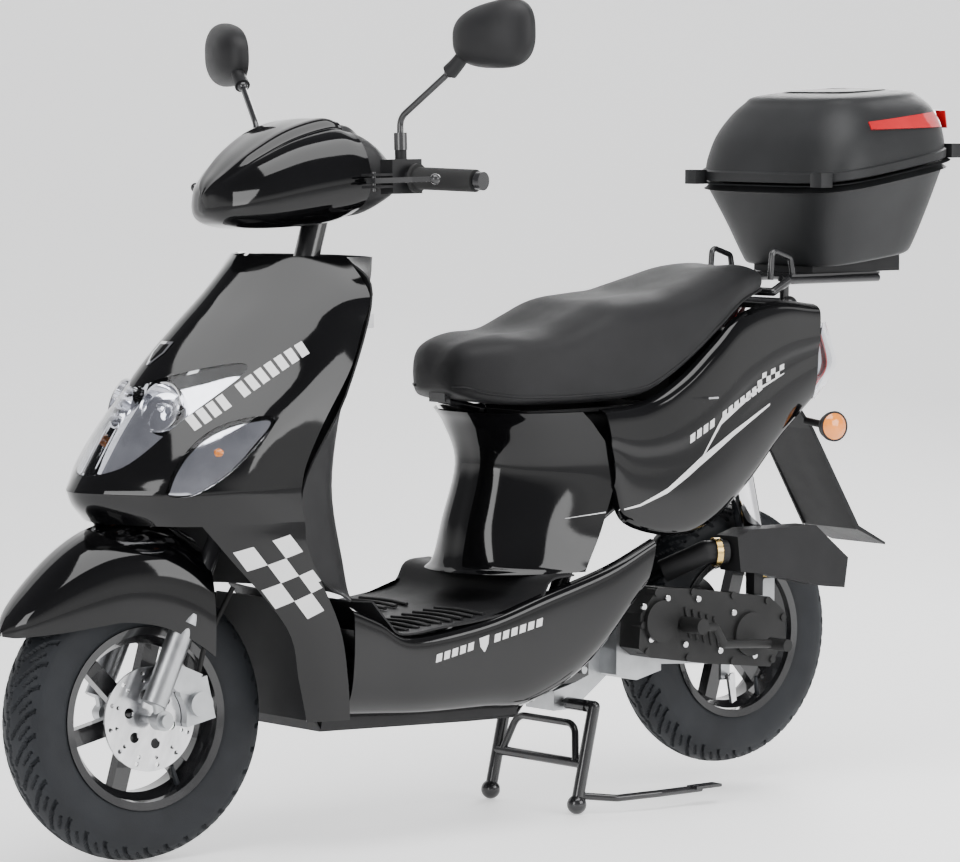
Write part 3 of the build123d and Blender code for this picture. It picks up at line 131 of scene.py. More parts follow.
def value_ramp(tree, source, low, high):
    node = tree.nodes.new("ShaderNodeMapRange")
    node.inputs["To Min"].default_value = low
    node.inputs["To Max"].default_value = high
    tree.links.new(source, node.inputs["Value"])
    return node.outputs["Result"]


def gloss(name, dark, light, rough=(0.05, 0.12), coat=1.0, metallic=0.0):
    """Lacquered plastic or paint: a clear coat, faint orange peel and dust that dulls it a little."""
    material, tree, shader = new_material(name)
    vector = coordinates(tree)
    tree.links.new(ramp(tree, noise(tree, vector, 9.0), [(0.3, dark), (0.75, light)]),
                   shader.inputs["Base Color"])
    tree.links.new(value_ramp(tree, noise(tree, vector, 60.0), *rough), shader.inputs["Roughness"])
    set_shader(shader, Metallic=metallic, Coat_Weight=coat, Coat_Roughness=0.03, IOR=1.42)
    add_bump(tree, shader, noise(tree, vector, 260.0, 1.0), 0.02, 0.0004)
    return material


def grain(name, dark, light, scale, depth, rough=(0.42, 0.6), metallic=0.0):
    """Moulded or cast surface: a pebbled grain with worn, slightly smoother high spots."""
    material, tree, shader = new_material(name)
    vector = coordinates(tree)
    cells = tree.nodes.new("ShaderNodeTexVoronoi")
    cells.inputs["Scale"].default_value = scale
    tree.links.new(vector, cells.inputs["Vector"])
    patches = noise(tree, vector, 14.0)
    tree.links.new(ramp(tree, patches, [(0.25, dark), (0.8, light)]), shader.inputs["Base Color"])
    tree.links.new(value_ramp(tree, noise(tree, vector, 30.0), *rough), shader.inputs["Roughness"])
    set_shader(shader, Metallic=metallic, Specular_IOR_Level=0.28)
    add_bump(tree, shader, cells.outputs["Distance"], 0.35, depth)
    return material


def metal(name, colour, rough, stretch=(1, 1, 1), scale=300.0, depth=0.0001, coat=0.0):
    """Bare metal with fine machining or casting marks and uneven polish."""
    material, tree, shader = new_material(name)
    vector = coordinates(tree, stretch)
    darker = tuple(c * 0.78 for c in colour)
    tree.links.new(ramp(tree, noise(tree, vector, 25.0), [(0.3, darker), (0.7, colour)]),
                   shader.inputs["Base Color"])
    tree.links.new(value_ramp(tree, noise(tree, vector, scale * 0.3), *rough), shader.inputs["Roughness"])
    set_shader(shader, Metallic=1.0, Coat_Weight=coat)
    add_bump(tree, shader, noise(tree, vector, scale), 0.25, depth)
    return material


def clear(name, colour, rough=0.02, alpha_like=1.0):
    """A clear or tinted lens with moulded flutes."""
    material, tree, shader = new_material(name)
    vector = coordinates(tree)
    wave = tree.nodes.new("ShaderNodeTexWave")
    wave.bands_direction = "Y"
    wave.inputs["Scale"].default_value = 60.0
    tree.links.new(vector, wave.inputs["Vector"])
    tree.links.new(ramp(tree, noise(tree, vector, 20.0),
                        [(0.2, tuple(c * 0.9 for c in colour)), (0.8, colour)]),
                   shader.inputs["Base Color"])
    set_shader(shader, Roughness=rough, Transmission_Weight=alpha_like, IOR=1.25)
    add_bump(tree, shader, wave.outputs["Fac"], 0.05, 0.0004)
    return material


BLACK = gloss("gloss_black_panel", (0.0016, 0.0016, 0.0018), (0.0028, 0.0028, 0.0032), (0.04, 0.09), 0.0)
RIM_BLACK = gloss("rim_black_paint", (0.006, 0.006, 0.007), (0.012, 0.012, 0.013), (0.14, 0.24), 0.6)
MATTE = grain("matte_black_plastic", (0.005, 0.005, 0.0055), (0.010, 0.010, 0.011), 1500.0, 0.0003)
CASE = grain("case_black_plastic", (0.008, 0.0085, 0.009), (0.015, 0.0155, 0.0165), 900.0, 0.0006,
             (0.38, 0.5))
FRAME_PAINT = gloss("frame_black_paint", (0.008, 0.008, 0.009), (0.016, 0.016, 0.017), (0.18, 0.3), 0.5)
ENGINE_BLACK = grain("engine_black_paint", (0.006, 0.006, 0.006), (0.013, 0.013, 0.013), 700.0, 0.0005,
                     (0.4, 0.62))
ALLOY = metal("cast_alloy", (0.46, 0.47, 0.48), (0.28, 0.46), scale=420.0, depth=0.0003)
STEEL = metal("polished_steel", (0.70, 0.70, 0.71), (0.10, 0.22), stretch=(1, 30, 1), scale=160.0)
CHROME = metal("chrome_plate", (0.86, 0.86, 0.88), (0.03, 0.08), scale=90.0, depth=0.00003)
GOLD = metal("gold_zinc_plate", (0.72, 0.50, 0.18), (0.18, 0.32), scale=200.0)
RUBBER = grain("tyre_rubber", (0.006, 0.007, 0.009), (0.013, 0.015, 0.018), 500.0, 0.0004, (0.5, 0.68))
GRIP = grain("grip_rubber", (0.010, 0.010, 0.010), (0.018, 0.018, 0.018), 1100.0, 0.0004, (0.55, 0.72))
SEAT = grain("seat_vinyl", (0.0045, 0.0045, 0.005), (0.009, 0.009, 0.010), 1200.0, 0.0005, (0.48, 0.62))
CLEAR = clear("clear_lens", (0.96, 0.97, 1.0))
RED = gloss("red_lens", (0.32, 0.004, 0.008), (0.55, 0.012, 0.018), (0.06, 0.12), 1.0)
AMBER = gloss("amber_lens", (0.75, 0.17, 0.01), (0.95, 0.30, 0.03), (0.08, 0.14), 1.0)
MIRROR = metal("mirror_glass", (0.85, 0.88, 0.9), (0.01, 0.03), scale=60.0, depth=0.00001)
DECAL = gloss("decal_white", (0.62, 0.62, 0.62), (0.74, 0.74, 0.74), (0.2, 0.3), 0.4)


# ---- mesh building ----
def make_object(name, vertices, faces, material, body, smooth=True):
    mesh = bpy.data.meshes.new(name)
    mesh.from_pydata([tuple(v) for v in vertices], [], faces)
    mesh.validate()
    mesh.materials.append(material)
    if smooth:
        mesh.polygons.foreach_set("use_smooth", [True] * len(mesh.polygons))
    obj = bpy.data.objects.new(name, mesh)
    bpy.context.scene.collection.objects.link(obj)
    work = bmesh.new()
    work.from_mesh(mesh)
    bmesh.ops.remove_doubles(work, verts=work.verts, dist=0.00002)
    bmesh.ops.recalc_face_normals(work, faces=work.faces)
    work.to_mesh(mesh)
    work.free()
    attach(obj, body)
    return obj


def apply_modifiers(obj):
    """Bakes an object's modifiers into its mesh."""
    graph = bpy.context.evaluated_depsgraph_get()
    mesh = bpy.data.meshes.new_from_object(obj.evaluated_get(graph))
    obj.modifiers.clear()
    obj.data = mesh


def smooth_by_angle(obj, degrees=35.0):
    """Smooth shading that keeps edges sharper than an angle."""
    mesh = obj.data
    work = bmesh.new()
    work.from_mesh(mesh)
    limit = math.radians(degrees)
    for edge in work.edges:
        edge.smooth = not (len(edge.link_faces) == 2 and edge.calc_face_angle(0.0) > limit)
    work.to_mesh(mesh)
    work.free()


def curve_point(points, t, closed=False):
    """A point on the smooth curve through the given points; t runs over their indices."""
    n = len(points)
    i = int(math.floor(t))
    if not closed:
        i = max(0, min(n - 2, i))
    f = t - i

    def pick(k):
        if closed:
            return Vector(points[k % n])
        if k < 0:
            return Vector(points[0]) * 2 - Vector(points[1])
        if k > n - 1:
            return Vector(points[n - 1]) * 2 - Vector(points[n - 2])
        return Vector(points[k])

    a, b, c, d = pick(i - 1), pick(i), pick(i + 1), pick(i + 2)
    return 0.5 * ((2 * b) + (c - a) * f + (2 * a - 5 * b + 4 * c - d) * f * f + (3 * b - a - 3 * c + d) * f ** 3)


def dense_row(points, per_span, closed=False, sharp=()):
    """The smooth curve through points, sampled evenly; it may turn a corner at the sharp ones."""
    pieces, start = [], 0
    if closed:
        return [curve_point(points, k / per_span, True) for k in range(len(points) * per_span)]
    cuts = sorted(set(sharp) | {len(points) - 1})
    for cut in cuts:
        part = points[start:cut + 1]
        count = (cut - start) * per_span
        pieces += [curve_point(part, k / per_span) if len(part) > 2 else
                   Vector(part[0]).lerp(Vector(part[1]), k / per_span) for k in range(count)]
        start = cut
    return pieces + [Vector(points[-1])]


def dense_grid(rows, across=4, along=4, sharp_across=(), sharp_along=(), closed=False):
    """A fine grid through a coarse one, smooth both ways except along the named creases."""
    wide = [dense_row(row, across, closed, sharp_across) for row in rows]
    columns = [dense_row([row[k] for row in wide], along, False, sharp_along) for k in range(len(wide[0]))]
    return [[column[i] for column in columns] for i in range(len(columns[0]))]


def grid_faces(rows, columns, wrap=False):
    faces = []
    for i in range(rows - 1):
        for k in range(columns if wrap else columns - 1):
            n = (k + 1) % columns
            faces.append((i * columns + k, i * columns + n, (i + 1) * columns + n, (i + 1) * columns + k))
    return faces


def panel(name, rows, material, body, thickness=2.6, steered=False, across=4, along=4, sharp_across=(),
          sharp_along=(), angle=40.0, offset=-1.0):
    """A moulded panel: a smooth sheet through rows of points, thickened inwards."""
    grid = dense_grid(rows, across, along, sharp_across, sharp_along)
    vertices = [place(p, steered) for row in grid for p in row]
    obj = make_object(name, vertices, grid_faces(len(grid), len(grid[0])), material, body)
    solid = obj.modifiers.new("wall", "SOLIDIFY")
    solid.thickness = thickness * MM
    solid.offset = offset
    apply_modifiers(obj)
    smooth_by_angle(obj, angle)
    return obj


def closed_form(name, rings, material, body, steered=False, around=4, along=4, sharp_along=(), angle=40.0,
                caps=True):
    """A closed solid through rings of points, smooth round each ring and from ring to ring."""
    grid = dense_grid(rings, around, along, (), sharp_along, closed=True)
    count = len(grid[0])
    vertices = [place(p, steered) for row in grid for p in row]
    faces = grid_faces(len(grid), count, wrap=True)
    if caps:
        for row, flip in ((0, True), (len(grid) - 1, False)):
            middle = sum((place(p, steered) for p in grid[row]), Vector()) / count
            vertices.append(middle)
            hub = len(vertices) - 1
            for k in range(count):
                a, b = row * count + k, row * count + (k + 1) % count
                faces.append((b, a, hub) if flip else (a, b, hub))
    obj = make_object(name, vertices, faces, material, body)
    smooth_by_angle(obj, angle)
    return obj


def spin(name, profile, centre, material, body, axis=(0, 1, 0), steps=96, steered=False, angle=35.0,
         closed=True):
    """A turned form: a profile of (radius, along) points carried round an axis."""
    direction = Vector(axis).normalized()
    side = direction.orthogonal().normalized()
    other = direction.cross(side)
    vertices, faces = [], []
    n = len(profile)
    for i in range(steps):
        turn = 2 * math.pi * i / steps
        out = side * math.cos(turn) + other * math.sin(turn)
        vertices += [place(Vector(centre) + out * r + direction * a, steered) for r, a in profile]
    for i in range(steps):
        j = (i + 1) % steps
        for k in range(n if closed else n - 1):
            m = (k + 1) % n
            faces.append((i * n + k, i * n + m, j * n + m, j * n + k))
    obj = make_object(name, vertices, faces, material, body)
    smooth_by_angle(obj, angle)
    return obj


def tube(name, points, radius, material, body, steered=False, per_span=6, sides=16, smooth_path=True):
    """A round bar or hose along a smooth line, with closed ends."""
    line = dense_row([Vector(p) for p in points], per_span) if smooth_path and len(points) > 2 else [
        Vector(p) for p in points]
    vertices, faces = [], []
    up = None
    for i, p in enumerate(line):
        ahead = (line[min(i + 1, len(line) - 1)] - line[max(i - 1, 0)]).normalized()
        up = ahead.orthogonal().normalized() if up is None else (up - ahead * up.dot(ahead)).normalized()
        side = ahead.cross(up)
        r = radius(i / (len(line) - 1)) if callable(radius) else radius
        for k in range(sides):
            turn = 2 * math.pi * k / sides
            vertices.append(place(p + (up * math.cos(turn) + side * math.sin(turn)) * r, steered))
    faces = grid_faces(len(line), sides, wrap=True)
    faces.append(tuple(range(sides))[::-1])
    faces.append(tuple((len(line) - 1) * sides + k for k in range(sides)))
    obj = make_object(name, vertices, faces, material, body)
    smooth_by_angle(obj, 45.0)
    return obj


def both_ways(half):
    """Half a row, from an edge to the middle, carried on to the other edge."""
    return half + [(x, -y, z) for x, y, z in half[::-1] if y > 0]


# ---- tyres with their tread ----
def tyre_profile():
    half = 45.0
    outer = [(134, 36), (142, 40.5), (150, 42.5), (164, 44.4), (176, 45), (188, 43.6), (198, 40), (204, 35.5),
             (209, 28), (212.6, 19), (215, 9.5), (216, 0)]
    left = [(r, -y) for r, y in outer[:-1][::-1]]
    inner = [(131, -33), (150, -34), (180, -36), (200, -26), (207, 0), (200, 26), (180, 36), (150, 34),
             (131, 33)]
    return outer + left + inner, half


def tread_depth(turn, y, radius):
    """Depth of the moulded tread at a place round the tyre: a centre zigzag and slanted side grooves."""
    if radius < 178:
        return 0.0
    pitch = 2 * math.pi / 34
    depth = 0.0
    side = 1 if y > 0 else -1
    reach = abs(y)
    if 7 < reach < 41:
        lean = (reach - 7) / 34 * 1.15
        phase = (turn / pitch + (0.5 if side > 0 else 0.0) - lean) % 1.0
        if phase < 0.17:
            depth = 4.2
        if 0.5 < phase < 0.62 and 22 < reach < 38:
            depth = 3.2
    zigzag = 2.2 * math.sin(turn * 34)
    if abs(y - zigzag) < 2.0:
        depth = 3.6
    return depth


def make_tyre(name, centre, body, node, steered):
    """A tyre whose tread blocks are cut into its mesh."""
    profile, half = tyre_profile()
    dense = []
    n = len(profile)
    for k in range(n):
        a, b = Vector((*profile[k], 0)), Vector((*profile[(k + 1) % n], 0))
        parts = max(1, int((b - a).length / 2.4)) if min(a.x, b.x) > 180 and k < 23 else 2
        for j in range(parts):
            p = a.lerp(b, j / parts)
            dense.append((p.x, p.y, k < 23))
    steps = 680
    vertices, faces = [], []
    count = len(dense)
    for i in range(steps):
        turn = 2 * math.pi * i / steps
        for r, y, outside in dense:
            cut = tread_depth(turn, y, r) if outside else 0.0
            rr = r - cut * min(1.0, max(0.0, (r - 178) / 20))
            yy = y - (math.copysign(cut * 0.5, y) if outside and r < 206 else 0.0)
            point = Vector(centre) + Vector((rr * math.cos(turn), yy, rr * math.sin(turn)))
            vertices.append(place(point, steered))
    for i in range(steps):
        j = (i + 1) % steps
        for k in range(count):
            m = (k + 1) % count
            faces.append((i * count + k, i * count + m, j * count + m, j * count + k))
    obj = make_object(name, vertices, faces, RUBBER, body)
    smooth_by_angle(obj, 28.0)
    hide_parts(node)
    return obj


def wheels():
    make_tyre("front_tyre_tread", (FRONT_X, 0, TYRE_RADIUS), "front_wheel", "front_tyre", True)
    make_tyre("rear_tyre_tread", (REAR_X, 0, REAR_Z), "rear_wheel", "rear_tyre", False)


# ---- cutting one mesh by another ----
def prism(outline, low, high, across="y", steered=False):
    """A closed block from an outline: (x, z) carried along Y, or (y, z) carried along X."""
    def corner(p, depth):
        return (p[0], depth, p[1]) if across == "y" else (depth, p[0], p[1])

    n = len(outline)
    vertices = [place(corner(p, low), steered) for p in outline] + [place(corner(p, high),
        steered) for p in outline]
    faces = [tuple(range(n))[::-1], tuple(range(n, 2 * n))]
    faces += [(k, (k + 1) % n, n + (k + 1) % n, n + k) for k in range(n)]
    mesh = bpy.data.meshes.new("cutter")
    mesh.from_pydata([tuple(v) for v in vertices], [], faces)
    work = bmesh.new()
    work.from_mesh(mesh)
    bmesh.ops.recalc_face_normals(work, faces=work.faces)
    work.to_mesh(mesh)
    work.free()
    cutter = bpy.data.objects.new("cutter", mesh)
    bpy.context.scene.collection.objects.link(cutter)
    return cutter


def carve(obj, cutters, operation="DIFFERENCE"):
    """Cuts obj with each block, or keeps what lies inside it, and removes the blocks."""
    for cutter in cutters:
        step = obj.modifiers.new("cut", "BOOLEAN")
        step.operation = operation
        step.solver = "EXACT"
        step.object = cutter
        apply_modifiers(obj)
        bpy.data.objects.remove(cutter)
    smooth_by_angle(obj, 40.0)


def smooth_outline(points, per_span=6):
    return [tuple(p)[:2] for p in dense_row([(a, b, 0) for a, b in points], per_span, closed=True)]


# ---- front: fender, apron, cowl ----
def front_fender():
    """The hooded fender: a smooth shell with a crown crease and a rolled lower edge."""
    stations = [(834, 362, 5, 352), (822, 384, 26, 350), (800, 410, 45, 352), (755, 452, 63, 356),
                (710, 484, 77, 362),
                (665, 504, 88, 366), (610, 513, 98, 356), (560, 506, 104, 332), (524, 490, 106, 306)]
    rows = []
    for x, crown, half, low in stations:
        tall = crown - low
        rows.append(both_ways([(x, half * 0.97, low), (x, half, low + tall * 0.34),
                               (x, half * 0.93, low + tall * 0.66),
                               (x, half * 0.66, crown - tall * 0.13), (x, half * 0.3, crown - tall * 0.015),
                               (x, 0, crown + 1)]))
    shell = panel("fender_shell", rows, BLACK, "steering", 3.0, True, across=5, along=6, sharp_across=(5,))
    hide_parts("front_fender")


APRON_LEVELS = [
    (512, [(432, 190), (500, 176), (590, 142), (640, 90), (676, 0)]),
    (536, [(437, 190.5), (522, 177), (604, 143), (662, 87), (704, 0)]),
    (560, [(440, 191), (540, 177), (615, 142), (672, 84), (719, 0)]),
    (600, [(430, 191), (536, 174), (608, 132), (655, 78), (693, 0)]),
    (660, [(398, 192), (496, 174), (560, 128), (612, 76), (652, 0)]),
    (740, [(346, 192), (410, 172), (478, 122), (540, 72), (586, 0)]),
    (800, [(322, 190), (370, 166), (428, 114), (482, 66), (522, 0)]),
    (850, [(305, 186), (340, 160), (384, 108), (428, 62), (466, 0)]),
    (905, [(300, 124), (330, 104), (362, 76), (388, 46), (410, 0)]),
]
LEG_LEVELS = [
    (514, [(432, 190), (470, 184), (530, 167), (590, 142)]),
    (466, [(424, 191), (462, 184), (508, 170), (548, 152)]),
    (354, [(366, 190), (394, 184), (422, 176), (448, 166)]),
    (270, [(344, 184), (370, 178), (394, 170), (418, 158)]),
    (205, [(330, 172), (352, 167), (374, 160), (396, 150)]),
]
HEADLIGHT_OUTLINE = [(0, 712), (40, 728), (80, 743), (108, 749), (117, 737), (110, 706), (94, 664),
                     (74, 620), (48, 594),
                     (0, 584)]
INDICATOR_OUTLINE = [(640, 566), (612, 558), (560, 588), (512, 630), (478, 668), (512, 672), (562, 654),
                     (608, 616)]


def apron_sheet(name, material, thickness, offset=-1.0):
    rows = [both_ways([(x, y, z) for x, y in half]) for z, half in APRON_LEVELS]
    return panel(name, rows, material, "chassis", thickness, across=6, along=6, sharp_along=(2,),
                 offset=offset)


def headlight_ring():
    half = HEADLIGHT_OUTLINE
    return smooth_outline(half + [(-y, z) for y, z in half[::-1][1:-1]], 4)


def front_apron():
    """The nose and leg shield with its two legs, cut out for the lamps."""
    apron = apron_sheet("apron_shell", BLACK, 3.0)
    lamp_cut = [prism(headlight_ring(), 380, 900, "x")]
    side_cuts = [prism(smooth_outline(INDICATOR_OUTLINE), *span) for span in ((120, 240), (-240, -120))]
    carve(apron, lamp_cut + side_cuts)
    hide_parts("front_apron")
    for side in (1, -1):
        rows = [[(x, side * y, z) for x, y in half] for z, half in LEG_LEVELS]
        leg = panel("apron_leg_" + ("left" if side > 0 else "right"), rows, BLACK, "chassis", 3.0, across=5,
                    along=6,
                    offset=-1.0 if side > 0 else 1.0)


def front_lamps():
    """Clear lenses that follow the apron, with bowls, bulbs and a bright surround behind them."""
    lens = apron_sheet("headlight_glass", CLEAR, 2.4)
    carve(lens, [prism(headlight_ring(), 380, 900, "x")], "INTERSECT")
    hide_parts("headlight_lens")
    for side in (1, -1):
        almond = apron_sheet("indicator_glass_" + ("left" if side > 0 else "right"), CLEAR, 2.4)
        span = (120, 240) if side > 0 else (-240, -120)
        carve(almond, [prism(smooth_outline(INDICATOR_OUTLINE), *span)], "INTERSECT")
        if side > 0:
            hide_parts("front_indicators")
        bulb_at = (552, side * 138, 618)
        bulb = spin("indicator_bulb", [(0.1, 12), (6, 10), (9, 4), (9, -4), (6, -10), (0.1, -12)], bulb_at,
                    AMBER, "chassis",
                    (1, 0, 0), 24, closed=False)
    inner = apron_sheet("headlight_surround", CHROME, 2.0)
    for vertex in inner.data.vertices:
        vertex.co.x -= 0.034
        vertex.co.y *= 0.93
    carve(inner, [prism([(y * 0.97, 672 + (z - 672) * 1.0) for y, z in headlight_ring()], 300, 900, "x")],
          "INTERSECT")
    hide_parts("headlight_reflector")
    for side in (1, -1):
        bowl = [(7, -34), (16, -30), (26, -20), (33, -6), (36, 8), (39, 9), (36, -8), (28, -24), (16, -35),
                (7, -38)]
        reflector = spin("headlight_bowl", bowl, (588, side * 48, 682), CHROME, "chassis",
                         (0.94, side * 0.2, 0.3), 64)
        bulb = spin("headlight_bulb", [(0.1, 14), (5, 12), (8, 4), (8, -26), (0.1, -26)],
                    (588, side * 48, 682), CLEAR,
                    "chassis", (0.94, side * 0.2, 0.3), 24, closed=False)


def cowl_row(x, low, high, half, step):
    """One closed section of the cowl, with the raised middle that widens towards the rider."""
    tall = high - low
    right = [(half * 0.55, low + 2), (half * 0.9, low + tall * 0.16), (half, low + tall * 0.36),
             (half * 0.965, low + tall * 0.56),
             (half * 0.86, low + tall * 0.75), (half * 0.68, high - tall * 0.14),
             (half * 0.55, high - tall * 0.055 - step),
             (half * 0.46, high - tall * 0.02), (half * 0.25, high - 1)]
    loop = [(0, low)] + right + [(0, high)] + [(-y, z) for y, z in right[::-1]]
    return [(x, y, z) for y, z in loop]


def cowl():
    """The handlebar cowl: a sculpted front shell and the dark dash behind it."""
    front = [(463, 970, 1000, 10, 0), (456, 960, 1014, 38, 1), (440, 951, 1030, 66, 3),
             (400, 945, 1063, 102, 6), (345, 945, 1095, 130, 8),
             (288, 950, 1112, 151, 9), (262, 958, 1107, 161, 9)]
    shell = closed_form("cowl_shell", [cowl_row(*s) for s in front], BLACK, "steering", True, 4, 6,
                        angle=32.0)
    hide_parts("cowl_front")
    rear = [(261, 960, 1103, 158, 6), (240, 961, 1097, 165, 5), (214, 974, 1070, 155, 3),
            (204, 982, 1058, 142, 0)]
    dash = closed_form("dash_shell", [cowl_row(*s) for s in rear], MATTE, "steering", True, 4, 4, angle=32.0)
    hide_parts("cowl_rear")
    glass = closed_form("dial_glass", [[(x, y * k, 1022 + z * k) for y, z in smooth_outline(
        [(0, 30), (50, 24), (62, 0), (50, -24), (0, -30), (-50, -24), (-62, 0), (-50, 24)], 4)]
        for x, k in ((204, 1.0), (199, 0.98), (197, 0.9))], CLEAR, "steering", True, 1, 1)


# ---- seat ----
def seat_section(x, low, high, half):
    """A section of the cushion: full top, soft shoulder, side drawn in to the seam."""
    tall = high - low
    right = [(half * 0.72, low), (half * 0.93, low + 5), (half * 0.985, low + min(22, tall * 0.3)),
             (half, low + tall * 0.52), (half * 0.95, low + tall * 0.78), (half * 0.80, high - tall * 0.07),
             (half * 0.52, high + 1.0), (half * 0.22, high - 0.5)]
    return [(x, y, z) for y, z in [(0, low)] + right + [(0, high - 1.5)] + [(-y, z) for y, z in right[::-1]]]


def seat():
    """The dual seat with its pillion step and the piped lower edge."""
    stations = [(25, 694, 712, 30), (21, 684, 728, 46), (8, 676, 748, 66), (-14, 668, 760, 84),
                (-60, 661, 769, 108),
                (-115, 659, 771, 122), (-160, 659, 779, 129), (-215, 660, 800, 135), (-262, 662, 817, 139),
                (-320, 672, 823, 141),
                (-382, 701, 828, 140), (-430, 729, 838, 137), (-480, 760, 850, 130), (-540, 799, 864, 118),
                (-590, 816, 867, 98),
                (-620, 824, 860, 80), (-636, 830, 851, 58), (-641, 836, 845, 36)]
    cushion = closed_form("seat_cushion", [seat_section(*s) for s in stations], SEAT, "seat_body", False, 5,
                          6, angle=60.0)
    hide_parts("seat")
    for side in (1, -1):
        line = [(x, side * half * 0.975, low + min(22, (high - low) * 0.3) - 8) for x, low, high,
                half in stations[1:-1]]
        piping = tube("seat_piping", line, 2.2, SEAT, "seat_body", per_span=5, sides=8)
    tongue = closed_form("seat_hinge_tongue",
                         [[(x, y, z) for y, z in ((-19, 664), (19, 664), (19, 690), (-19, 690))]
                                              for x in (14, 2)], FRAME_PAINT, "seat_body", around=1, along=1)


# ---- top case ----
def case_ring(level, count=96, swell=None, power=4.6):
    """One section of the luggage box: a rounded rectangle in a sloping plane."""
    (xf, zf), (xr, zr), half_front, half_rear = level
    ring = []
    for k in range(count):
        turn = 2 * math.pi * k / count
        c, s = math.cos(turn), math.sin(turn)
        along = math.copysign(abs(c) ** (2 / power), c)
        side = math.copysign(abs(s) ** (2 / power), s)
        share = (1 + along) / 2
        half = half_rear + (half_front - half_rear) * share + 7 * (1 - along * along)
        extra = swell(turn) if swell else 0.0
        x = xr + (xf - xr) * share + math.copysign(extra, c) * abs(along) ** 3
        ring.append((x, side * (half + extra), zr + (zf - zr) * share))
    return ring


def grown(level, by, up=0.0):
    (xf, zf), (xr, zr), half_front, half_rear = level
    return (xf + by, zf + up), (xr - by, zr + up), half_front + by, half_rear + by


def box_form(name, levels, material, body, per_span=5, sharp=(), swells=None):
    """A closed rounded box through its levels, shut at both ends."""
    rings = [case_ring(level, swell=swells[i] if swells else None) for i, level in enumerate(levels)]
    for at_end, ring_at in ((0, 0), (len(rings), -1)):
        edge = rings[ring_at]
        centre = sum((Vector(p) for p in edge), Vector()) / len(edge)
        inner = [[tuple(centre.lerp(Vector(p), k)) for p in edge] for k in (0.9, 0.5)]
        rings[at_end:at_end] = inner[::-1] if at_end == 0 else inner
    return closed_form(name, rings, material, body, around=1, along=per_span, sharp_along=sharp, angle=35.0)


def top_case():
    """The luggage box: tub with a rim lip, a foot under it, and the lid."""
    base = [((-745, 862), (-958, 886), 114, 110), ((-737, 876), (-968, 900), 122, 117),
            ((-716, 930), (-990, 962), 145, 135),
            ((-698, 980), (-1008, 1026), 173, 153), ((-695, 984), (-1010, 1030), 175, 155)]
    tub = box_form("case_tub",
                   base + [grown(base[-1], 6, 1), grown(base[-1], 6.5, 12), grown(base[-1], 2, 13.5)], CASE,
                   "chassis", sharp=(6, 7, 9))
    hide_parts("top_case_base")
    foot = closed_form("case_foot",
                       [[(x, y, z) for x, y in ((-748, -70), (-748, 70), (-955, 70), (-955, -70))]
                                     for z in (850.5, 885)], MATTE, "chassis", around=1, along=1)
    lid_levels = [((-690, 1001), (-1011, 1047), 180, 159), ((-688, 1003), (-1013, 1049), 184, 162),
                  ((-688, 1016), (-1013, 1062), 185, 163),
                  ((-692, 1019), (-1011, 1064), 180, 159), ((-697, 1040), (-1011, 1082), 178, 156),
                  ((-708, 1074), (-1006, 1108), 168, 148),
                  ((-726, 1106), (-996, 1132), 150, 132), ((-744, 1130), (-984, 1147), 128, 112),
                  ((-764, 1144), (-968, 1155), 108, 94),
                  ((-800, 1152), (-936, 1158), 78, 68)]
    lid_levels.append(((-840, 1155), (-900, 1159), 34, 30))
    lid = box_form("case_lid_shell", lid_levels, CASE, "case_lid", sharp=(3, 4, 5))
    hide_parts("top_case_lid")


# ---- middle and tail bodywork ----
def inner_shield():
    """The rider's side of the leg shield, bulging round the steering column."""
    levels = [(386, [(340, 184), (310, 140), (278, 60), (272, 0)]),
              (440, [(414, 186), (330, 150), (290, 60), (284, 0)]),
              (560, [(436, 186), (352, 150), (318, 62), (308, 0)]),
              (700, [(352, 186), (330, 150), (268, 66), (252, 0)]),
              (850, [(300, 184), (282, 140), (216, 70), (196, 0)]),
              (900, [(296, 120), (276, 96), (206, 68), (190, 0)])]
    rows = [both_ways([(x, y, z) for x, y in half]) for z, half in levels]
    shield = panel("inner_shield_shell", rows, MATTE, "chassis", 3.0, across=5, along=6, offset=1.0)
    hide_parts("inner_leg_shield")


def floor_board():
    """The foot tray: a raised tunnel edge, rolled sides and moulded anti-slip ribs."""
    line = [(292, 378), (262, 346), (232, 324), (150, 329), (75, 334), (-40, 351), (-72, 386), (-120, 391)]
    rows = [[(x, y, z + (3 if abs(y) > 165 else 0)) for y in (178, 168, 120, 60, 0, -60, -120, -168,
                                                              -178)] for x, z in line]
    board = panel("floor_tray", rows, MATTE, "chassis", 3.0, across=3, along=5, offset=-1.0)
    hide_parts("floor_board")
    for k in range(9):
        x0 = 222 - k * 22
        for side in (1, -1):
            z = 327 + k * 1.9
            rib = tube("floor_rib",
                       [(x0, side * 34, z + 1), (x0 - 6, side * 90, z + 2), (x0, side * 152, z + 1)], 3.0,
                       MATTE,
                       "chassis", per_span=4, sides=8)


SKIRT_TOP = [(332, 374), (280, 352), (218, 322), (74, 335), (-57, 368), (-190, 402), (-290, 440)]
SKIRT_LOW = [(330, 208), (250, 203), (160, 198), (40, 196), (-60, 196), (-170, 246), (-270, 350)]


def side_skirts():
    """The glossy side walls under the floor, rounded over at the top and tucked in to the belly."""
    tuck = [(0.0, 170), (0.035, 179.5), (0.12, 182.5), (0.45, 181.5), (0.75, 174), (0.92, 158), (1.0, 134)]
    for side in (1, -1):
        rows = []
        for share, y in tuck:
            rows.append([(xt + (xl - xt) * share, side * y, zt + (zl - zt) * share)
                         for (xt, zt), (xl, zl) in zip(SKIRT_TOP, SKIRT_LOW)])
        skirt = panel("side_skirt_" + ("left" if side > 0 else "right"), rows, BLACK, "chassis", 3.0,
                      across=6, along=5,
                      offset=1.0 if side > 0 else -1.0)
        if side > 0:
            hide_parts("side_skirts")


